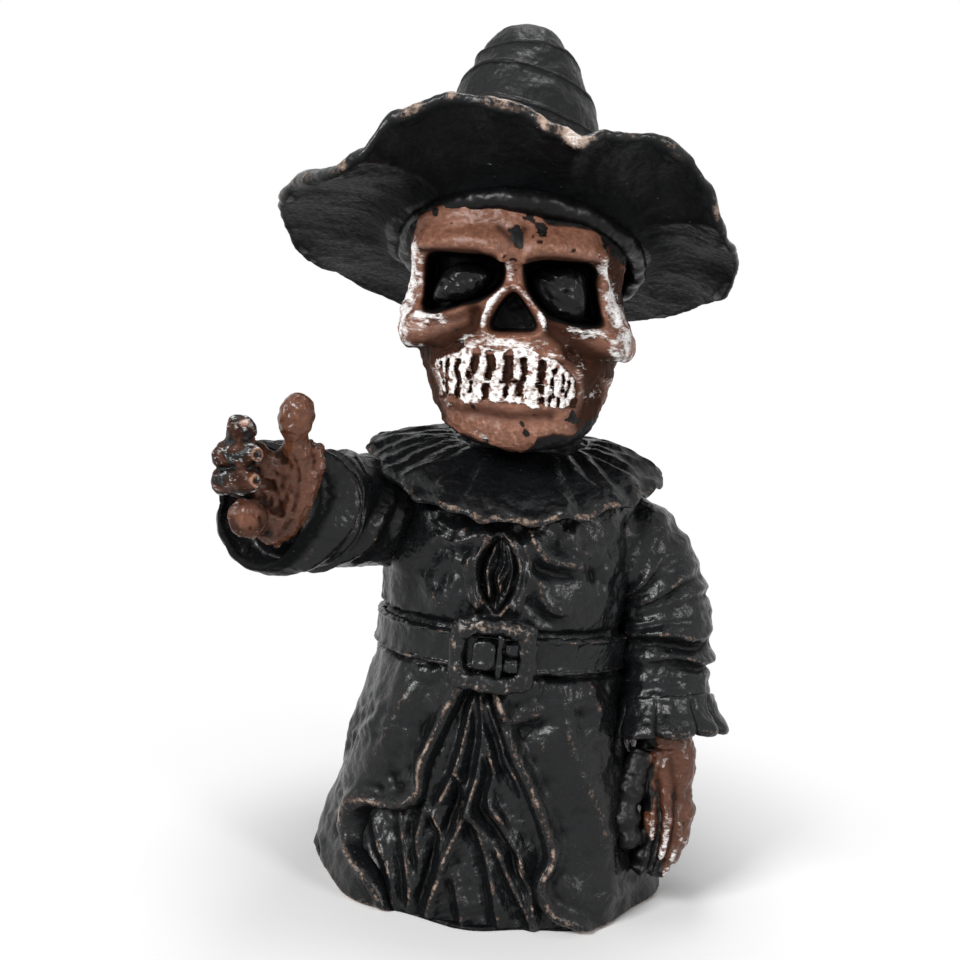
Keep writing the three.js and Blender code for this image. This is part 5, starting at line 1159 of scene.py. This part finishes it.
def cuff(name, node_name, path, up, profile, gathers, depth, slack, lip_shape, seed):
    """A ring turned from a closed profile of radius and distance along the arm's end. Towards the lip it
    puffs out between tight creases, the root of an absolute cosine of the angle, and is narrowed and moved
    aside; slack cloth bags in rings round its outside."""
    end = np.array(path[-1], float)
    aim = end - np.array(path[-2], float)
    aim /= np.linalg.norm(aim)
    side = np.cross(np.asarray(up, float), aim)
    side /= np.linalg.norm(side)
    over = np.cross(aim, side)
    closed = list(profile) + [profile[0]]
    loop, turn = np.meshgrid(evenly(closed, 110)[:-1], full_turn(400), indexing="ij")
    radius, along = np.moveaxis(through(closed, loop), -1, 0)
    reach = max(row[1] for row in profile)
    lip = ease(along, -9, reach)
    phase = gathers / 2 * turn + 0.5 * np.sin(2 * turn) + 0.3 * np.sin(3 * turn + 1)
    puff = np.abs(np.cos(phase)) ** 0.5 - 0.7
    outside = ease(radius, 13.2, 14.6)
    radius = radius + depth * lip * puff
    bagging = np.sin(0.9 * along + 1.3 * np.sin(turn + 0.6) + 0.6 * np.sin(3 * turn))
    radius = radius + slack * outside * bagging * (0.7 + 0.3 * np.sin(2 * turn + 1))
    along = along + 0.6 * depth * lip * puff
    grid = along[..., None] * aim + radius[..., None] * (
        np.cos(turn)[..., None] * side + np.sin(turn)[..., None] * over)
    narrow, aside = lip_shape
    moved = np.clip(along / reach, 0, 1.1)
    grid[..., 0] += moved * ((narrow - 1) * grid[..., 0] - aside)
    grid += end
    grid = raised(grid, True, 0.1 * waves(grid, 6, seed) + 0.04 * waves(grid, 2.4, seed + 1))
    proud = stands_out(grid, True, 16)
    rub = 0.26 * np.clip(proud / 0.45, 0, 1) + 0.2 * ease(lip, 0.85, 1) * ease(puff, 0, 0.25)
    # Painted shade: darker in the hollows, in the creases between the puffs at the lip and where the slack
    # cloth bags inward
    wash = 0.9 * ease(-proud, 0.1, 0.6) + 0.3 * depth * lip * ease(-puff, 0.15, 0.5)
    wash += 0.4 * slack * outside * ease(-bagging, 0.1, 0.9)
    piece = grid_piece(name, grid, black_acrylic, ring=True, rub=rub, wash=wash)
    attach(piece, "root")
    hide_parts(node_name)


cuff("right_cuff_flare", "right_cuff", RIGHT_ARM, (0, 0, 1), [
    (11.5, -6), (13.6, -7), (14.6, -4), (15.4, -1), (16, 2.5), (16.3, 5.4), (15.6, 6.5), (14, 5.6),
    (12.7, 2), (11.5, 0.6),
], 7, 0.5, 1.5, (0.8, 6), 141)
cuff("left_cuff_frill", "left_cuff", LEFT_ARM, (0, 1, 0), [
    (9.8, -5), (12.8, -5.6), (13.4, -3.4), (14, -1), (15.6, 1.8), (16.2, 3.8), (15, 4.9), (13, 3.6),
    (11.4, 1.4), (9.8, 0.6),
], 11, 2.0, 0, (1, 0), 151)

# Hands
# The open right hand held out with its fingers curled, and the left hanging against the skirt, each cast
# with the wrist and glued into its cuff. Copper brown over black, with painted shade in the hollows and
# creases, and white dragged on the knuckles, partly as painted highlights.
FINGER_RADIUS = 3.6
# Fingers are a width and a path; the first right one is the thumb
RIGHT_PALM = ((-49.2, -56.5, 109), (6.8, 4.5, 13.5), (0, 0.35, 0.1))
RIGHT_WRIST = ((-49.5, -44, 103), (-51.5, -55, 105), 7.5)
RIGHT_THUMB_TIP = ((-46.3, -62, 127.6), (4.1, 3.8, 5.2), (0, 0.12, 0))
RIGHT_FINGERS = [
    (0.86, [(-45.1, -57, 113), (-46.4, -59.5, 119.5), (-46.6, -61.5, 125), (-46.1, -62.3, 130)]),
    (0.9, [(-50, -58, 114), (-56, -61, 117.3), (-58.3, -66, 121.6), (-56, -70.5, 126.4)]),
    (0.82, [(-50, -58, 112), (-58.5, -61, 115.5), (-60.6, -67.5, 118), (-51.6, -73, 119.6)]),
    (0.82, [(-50, -58, 107.5), (-58.5, -60.5, 110), (-60.6, -67.5, 112), (-51.4, -73, 113.8)]),
    (1.15, [(-50, -57, 103), (-54.5, -60, 103), (-55.4, -66, 103.6), (-54.2, -70.5, 105)]),
]
RIGHT_FLANGE = [(-43, -57, 121), (-41.8, -57, 117), (-43.2, -57, 112), (-44.8, -57, 107.5),
                (-48, -56, 101.5), (-52, -54.5, 94.5)]
NAIL_RINGS = [(-55.2, -72, 127.4), (-50.6, -73.6, 119.8), (-50.4, -73.6, 114)]
# Creases of the palm, over (x, z)
PALM_CREASES = [
    [(-46.6, 118), (-45.2, 112), (-46.2, 105)], [(-54, 112.4), (-50.6, 109.4), (-48.6, 104)],
    [(-46.4, 102.6), (-49.6, 98.4)],
]
LEFT_PALM = ((46, -14.5, 37), (8.6, 5.6, 12), (-0.15, 0.1, -0.35))
LEFT_WRIST = ((45.3, -10.5, 51), (45.8, -13.5, 42), 7.4)
LEFT_FINGERS = [
    (0.9, [(50, -15, 36), (52, -17, 27), (51, -19, 19.5), (48, -20.5, 13.5)]),
    (0.95, [(47, -17, 36), (48.6, -20, 25), (47.8, -21.5, 16.5), (46, -22, 10.5)]),
    (0.9, [(44, -17, 34), (44.6, -20, 23), (43.6, -22, 15), (43, -23, 10.5)]),
    (1.0, [(40.5, -17, 42), (37.8, -21, 33), (37.4, -24, 25), (39.6, -25, 18)]),
]
LEFT_BLACK_EDGE = [(42.9, 44.5), (42.6, 38), (44.4, 29), (41.6, 25.8), (45.3, 19.8), (48.1, 13.7)]
# The hollows between the fingers on the back of the left hand, over (x, z)
LEFT_GROOVES = [
    [(47.4, 42), (49.4, 34), (50.2, 26), (49.4, 18), (47, 12)],
    [(44.2, 38), (45.4, 31), (46.4, 24), (45.6, 16), (44.4, 11)],
]
REMESH_SIZE = 0.42
# The hands' copper is a deeper brown than the face's and lies under a coat of varnish
varnished_copper = painted_resin(
    "copper_acrylic_under_varnish", ground="#6d4330", thin="#452616", rub="#85563f", rub_bright="#c99a80",
    glaze_and_shade_colour="#26130b", paint="#0a0909", roughness=0.26, gloss=0.5, depth=0.3)


def finger(width, points):
    """A tube along the finger that swells at two knuckles and at the pad, and ends in a rounded tip."""
    t, turn, centre, side, over = carried(points, 28, 70, (0.3, 0.2, 1))
    swollen = 0.98 + 0.14 * swell(t, 0.34, 0.08) + 0.12 * swell(t, 0.64, 0.07) + 0.10 * swell(t, 0.88, 0.08)
    swollen = swollen - 0.10 * swell(t, 0.5, 0.06) - 0.12 * swell(t, 0.755, 0.05)
    blunt = np.sqrt(np.clip(1 - (np.clip(t - 0.86, 0, 1) / 0.141) ** 2, 0.0004, 1))
    return swept(centre, side, over, turn, FINGER_RADIUS * width * swollen * blunt)


def palm(middle, half, turns):
    """A squared ellipsoid, turned and put in place."""
    down, around = np.meshgrid(np.linspace(0.02, np.pi - 0.02, 40), full_turn(60), indexing="ij")
    ball = np.stack([np.sin(down) * np.cos(around), np.sin(down) * np.sin(around), np.cos(down)], axis=-1)
    turned = (Matrix.Rotation(turns[0], 3, "X") @ Matrix.Rotation(turns[1], 3, "Y")
              @ Matrix.Rotation(turns[2], 3, "Z"))
    return (rounded(ball, 0.85) * half) @ np.array(turned).T + middle


def tube(path, width):
    """A round tube along a path with rounded ends, its radius wandering a little."""
    t, turn, centre, side, over = carried(path, 28, 90, (0.3, 0.4, 1))
    blunt = np.sqrt(np.clip(1 - np.abs(2 * t - 1) ** 12, 0.0004, 1))
    uneven = 1 + 0.2 * np.sin(31 * t) + 0.15 * np.sin(17 * t + 1)
    return swept(centre, side, over, turn, width * blunt * uneven)


def grown_together(grids):
    """Several closed grids as one skin: joined, and meshed again as a solid of small cubes, then smoothed."""
    joined = bmesh.new()
    for shape in grids:
        part = grid_piece("part", shape, varnished_copper)
        joined.from_mesh(part.data)
        spare = part.data
        bpy.data.objects.remove(part)
        bpy.data.meshes.remove(spare)
    mesh = bpy.data.meshes.new("joined")
    joined.to_mesh(mesh)
    joined.free()
    shell = bpy.data.objects.new("joined", mesh)
    bpy.context.scene.collection.objects.link(shell)
    remesh = shell.modifiers.new("skin", "REMESH")
    remesh.mode = "VOXEL"
    remesh.voxel_size = REMESH_SIZE * 0.001
    smooth = shell.modifiers.new("soften", "SMOOTH")
    smooth.factor = 0.5
    smooth.iterations = 5
    done = bpy.data.meshes.new_from_object(shell.evaluated_get(bpy.context.evaluated_depsgraph_get()))
    points = np.empty(len(done.vertices) * 3, np.float32)
    done.vertices.foreach_get("co", points)
    corners = np.empty(len(done.loops), np.int32)
    done.loops.foreach_get("vertex_index", corners)
    bpy.data.objects.remove(shell)
    return points.reshape(-1, 3).astype(float) * 1000, corners.reshape(-1, 4)


def loose_proud(points, quads, passes):
    """How far each point stands proud of its neighbours' mean after some passes, and the unit normals."""
    normal = np.zeros_like(points)
    face = np.cross(points[quads[:, 2]] - points[quads[:, 0]], points[quads[:, 3]] - points[quads[:, 1]])
    for corner in range(4):
        np.add.at(normal, quads[:, corner], face)
    normal /= np.maximum(np.linalg.norm(normal, axis=1, keepdims=True), 1e-9)
    sides = np.concatenate([quads[:, [0, 1]], quads[:, [1, 2]], quads[:, [2, 3]], quads[:, [3, 0]]])
    here, there = np.concatenate([sides, sides[:, ::-1]]).T
    count = np.bincount(here, minlength=len(points))[:, None]
    soft = points.copy()
    for _ in range(passes):
        total = np.stack([np.bincount(here, soft[there, k], len(points)) for k in range(3)], axis=1)
        soft = total / count
    return ((points - soft) * normal).sum(axis=1), normal


def near_path(points, path):
    """Distance of each point from a spline in space, measured to close steps along it."""
    steps = through(path, np.linspace(0, 1, 40))
    return np.min([np.linalg.norm(points - step, axis=1) for step in steps], axis=0)


def from_lines(points, lines):
    """Distance of each point, seen from the front, from the nearest of some lines over (x, z)."""
    return np.min([nearest_on(points[:, 0], points[:, 2], line)[0] for line in lines], axis=0)


def hand_skin(palm_row, wrist_row, fingers, extra):
    """The palm, wrist, fingers and any more tubes grown together into one skin."""
    start, end, width = wrist_row
    t, turn, centre, side, over = carried([start, np.add(start, end) / 2, end], 48, 30, (0, 0.3, 1))
    wrist = swept(centre, side, over, turn, width + 0 * t)
    return grown_together([palm(*palm_row), wrist] + [finger(*row) for row in fingers] + extra)


points, quads = hand_skin(RIGHT_PALM, RIGHT_WRIST, RIGHT_FINGERS,
                          [tube(RIGHT_FLANGE, 1.7), palm(*RIGHT_THUMB_TIP)])
normal = loose_proud(points, quads, 1)[1]
toward = ease(-normal[:, 1], 0.2, 0.7)
in_palm = swell(np.hypot(points[:, 0] + 49.5, 0.6 * (points[:, 2] - 110)), 0, 5) * toward
flange = swell(near_path(points, RIGHT_FLANGE), 0, 2.4)
on_finger = np.max([swell(near_path(points, row[1][1:]), 0, 4.2) for row in RIGHT_FINGERS[1:]], axis=0)
tips = np.array([np.linalg.norm(points - ring, axis=1) for ring in NAIL_RINGS])
rings = tips.min(axis=0)
creased = toward * swell(from_lines(points, PALM_CREASES), 0, 0.6) * (1 - ease(rings, 9, 5))
tooled = np.abs(waves(points, 3.4, 163))
rough = 0.14 * waves(points, 4, 161) + (0.04 + 0.12 * flange + 0.04 * toward) * waves(points, 1.6, 162)
rough += 0.4 * swell(rings, 2.1, 0.5) - 0.5 * swell(rings, 0, 1.3) - 0.4 * creased
rough -= in_palm * (1.1 + 0.12 * tooled) + 0.08 * toward * tooled
points = points + normal * rough[:, None]
proud, normal = loose_proud(points, quads, 16)
dark = on_finger * ease(-normal[:, 1] - 0.5 * normal[:, 0], -0.9, 0.1) * (1 - in_palm)
little_tip = np.linalg.norm(points - RIGHT_FINGERS[4][1][-1], axis=1)
dark *= ease(-points[:, 0], 49, 51.5) * ease(little_tip, 2, 4.2)
blotch = 0.16 * waves(points, 4.5, 164)
pits = swell(np.minimum(tips[1], tips[2]), 0, 1.3)
rims = swell(rings, 2.1, 0.6)
# White dragged on the proud edges of the blackened fingers, partly a painted highlight standing in for glints
silver_and_glint = dark * ease(proud, 0.03, 0.3) * (1 - swell(rings, 0, 1.6))
# Painted shade in the hollows and the palm creases, over a deeper brown laid all over
hollow_shade_and_glaze = 0.5 * ease(-proud, 0.04, 0.4) + 0.2 * creased + 0.12
right_hand_piece = mesh_piece("right_hand_open", points, [quads], varnished_copper, {
    "rub": 0.4 * np.clip(proud / 0.5, 0, 1) + 0.2 * in_palm + 0.5 * rims,
    "wash": dark * (1.0 + 2 * blotch) * (1 - 0.8 * rims) + pits + np.minimum(hollow_shade_and_glaze, 0.6),
    "white": 0.5 * silver_and_glint + 0.34 * flange * ease(proud, 0.1, 0.4)})
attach(right_hand_piece, "root")
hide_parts("right_hand")

points, quads = hand_skin(LEFT_PALM, LEFT_WRIST, LEFT_FINGERS, [])
normal = loose_proud(points, quads, 1)[1]
grooves = from_lines(points, LEFT_GROOVES)
outer = ease(-normal[:, 1], 0, 0.4)
rough = 0.12 * waves(points, 4, 171) + 0.06 * waves(points, 1.8, 172)
grooved = 0.4 * swell(grooves, 1.7, 0.8) - 0.8 * swell(grooves, 0, 0.8)
rough += outer * ease(40 - points[:, 2], 0, 12) * grooved
points = points + normal * rough[:, None]
proud, normal = loose_proud(points, quads, 16)
black_edge = crossing(LEFT_BLACK_EDGE, points[:, 2]) + 0.5 * waves(points, 4, 173)
inside = ease(black_edge - points[:, 0], -0.4, 0.6)
tips = ease(34 - points[:, 2], 0, 14) * (1 - inside)
# Painted shade: darker in the hollows; the grooves between the fingers are darkened too, and the black inner
# side is real paint
left_hand_piece = mesh_piece("left_hand_hanging", points, [quads], varnished_copper, {
    "rub": 0.3 * np.clip(proud / 0.5, 0, 1) * (1 - inside),
    "wash": 1.1 * inside + 0.6 * ease(-proud, 0.08, 0.5) + 0.3 * outer * swell(grooves, 0, 0.9) + 0.12,
    "white": 0.55 * tips * ease(proud, 0.08, 0.4)})
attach(left_hand_piece, "root")
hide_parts("left_hand")

# Floor, light and camera
# A plain white studio: the floor keeps the soft shadow under the figure and runs out to pure white, as the
# room behind does for everything that sees it directly or in a reflection.
SHADOW_NEAR = 0.05
SHADOW_FAR = 0.15
ROOM_LIGHT = 0.22


def seen_directly(tree):
    """1 for rays from the camera and for those that it sees in a gloss or through a clear piece, else 0."""
    camera_ray = node(tree, "ShaderNodeLightPath", {}, "Is Camera Ray")
    glossy_ray = camera_ray.node.outputs["Is Glossy Ray"]
    clear_ray = camera_ray.node.outputs["Is Transmission Ray"]
    mirrored = node(tree, "ShaderNodeMath", {0: glossy_ray, 1: clear_ray}, operation="MAXIMUM")
    return node(tree, "ShaderNodeMath", {0: camera_ray, 1: mirrored}, operation="MAXIMUM")


floor_mesh = bpy.data.meshes.new("floor")
floor_mesh.from_pydata([(-3, -3, 0), (3, -3, 0), (3, 3, 0), (-3, 3, 0)], [], [(0, 1, 2, 3)])
floor = bpy.data.objects.new("floor", floor_mesh)
floor.location.z = -0.0002
bpy.context.scene.collection.objects.link(floor)
paper = bpy.data.materials.new("white_paper")
paper.use_nodes = True
tree = paper.node_tree
tree.nodes.clear()
spot = node(tree, "ShaderNodeTexCoord", {}, "Object")
distance = node(tree, "ShaderNodeVectorMath", {0: spot}, "Value", operation="LENGTH")
beyond = node(tree, "ShaderNodeMapRange", {
    "Value": distance, "From Min": SHADOW_NEAR, "From Max": SHADOW_FAR}, interpolation_type="SMOOTHSTEP")
white_share = node(tree, "ShaderNodeMath", {0: seen_directly(tree), 1: beyond}, operation="MULTIPLY")
matt = node(tree, "ShaderNodeBsdfDiffuse", {"Color": linear("#f8f8f8")})
bright = node(tree, "ShaderNodeEmission", {"Color": (1, 1, 1, 1), "Strength": 1.0})
sheet = node(tree, "ShaderNodeMixShader", {0: white_share, 1: matt, 2: bright})
node(tree, "ShaderNodeOutputMaterial", {"Surface": sheet})
floor_mesh.materials.append(paper)

world = bpy.data.worlds.new("studio")
bpy.context.scene.world = world
world.use_nodes = True
tree = world.node_tree
tree.nodes.clear()
strength = node(tree, "ShaderNodeMix", {0: seen_directly(tree), 2: ROOM_LIGHT, 3: 1.0}, data_type="FLOAT")
sky = node(tree, "ShaderNodeBackground", {"Color": (1, 1, 1, 1), "Strength": strength})
node(tree, "ShaderNodeOutputWorld", {"Surface": sky})


def lamp(name, place, aim, size, power):
    """A square soft box at a place in metres, turned to face a point."""
    light = bpy.data.lights.new(name, "AREA")
    light.shape = "SQUARE"
    light.size = size
    light.energy = power
    made = bpy.data.objects.new(name, light)
    made.location = place
    made.rotation_euler = (Vector(aim) - Vector(place)).to_track_quat("-Z", "Y").to_euler()
    bpy.context.scene.collection.objects.link(made)


lamp("soft_box_left", (-0.5, -0.75, 0.6), (0, 0, 0.12), 0.34, 9.5)
lamp("soft_box_right", (0.7, -0.5, 0.45), (0, 0, 0.12), 0.24, 2.6)
lamp("soft_box_top", (0.0, 0.1, 0.95), (0, 0, 0.12), 0.3, 3.5)

PHOTO_SIZE = 960
FOCAL_PIXELS = 1340
CAMERA_PLACE = (0.0314, -0.3586, 0.165)
CAMERA_AIM = (-0.0104, 0, 0.107)
CAMERA_ROLL = 4.5
camera_data = bpy.data.cameras.new("camera")
camera_data.sensor_width = 36
camera_data.lens = FOCAL_PIXELS / PHOTO_SIZE * camera_data.sensor_width
camera_data.clip_start = 0.01
camera = bpy.data.objects.new("camera", camera_data)
camera.location = CAMERA_PLACE
straight = (Vector(CAMERA_AIM) - Vector(CAMERA_PLACE)).to_track_quat("-Z", "Y").to_matrix().to_4x4()
camera.rotation_euler = (straight @ Matrix.Rotation(np.radians(CAMERA_ROLL), 4, "Z")).to_euler()
bpy.context.scene.collection.objects.link(camera)
bpy.context.scene.camera = camera
bpy.context.scene.view_settings.view_transform = "Standard"
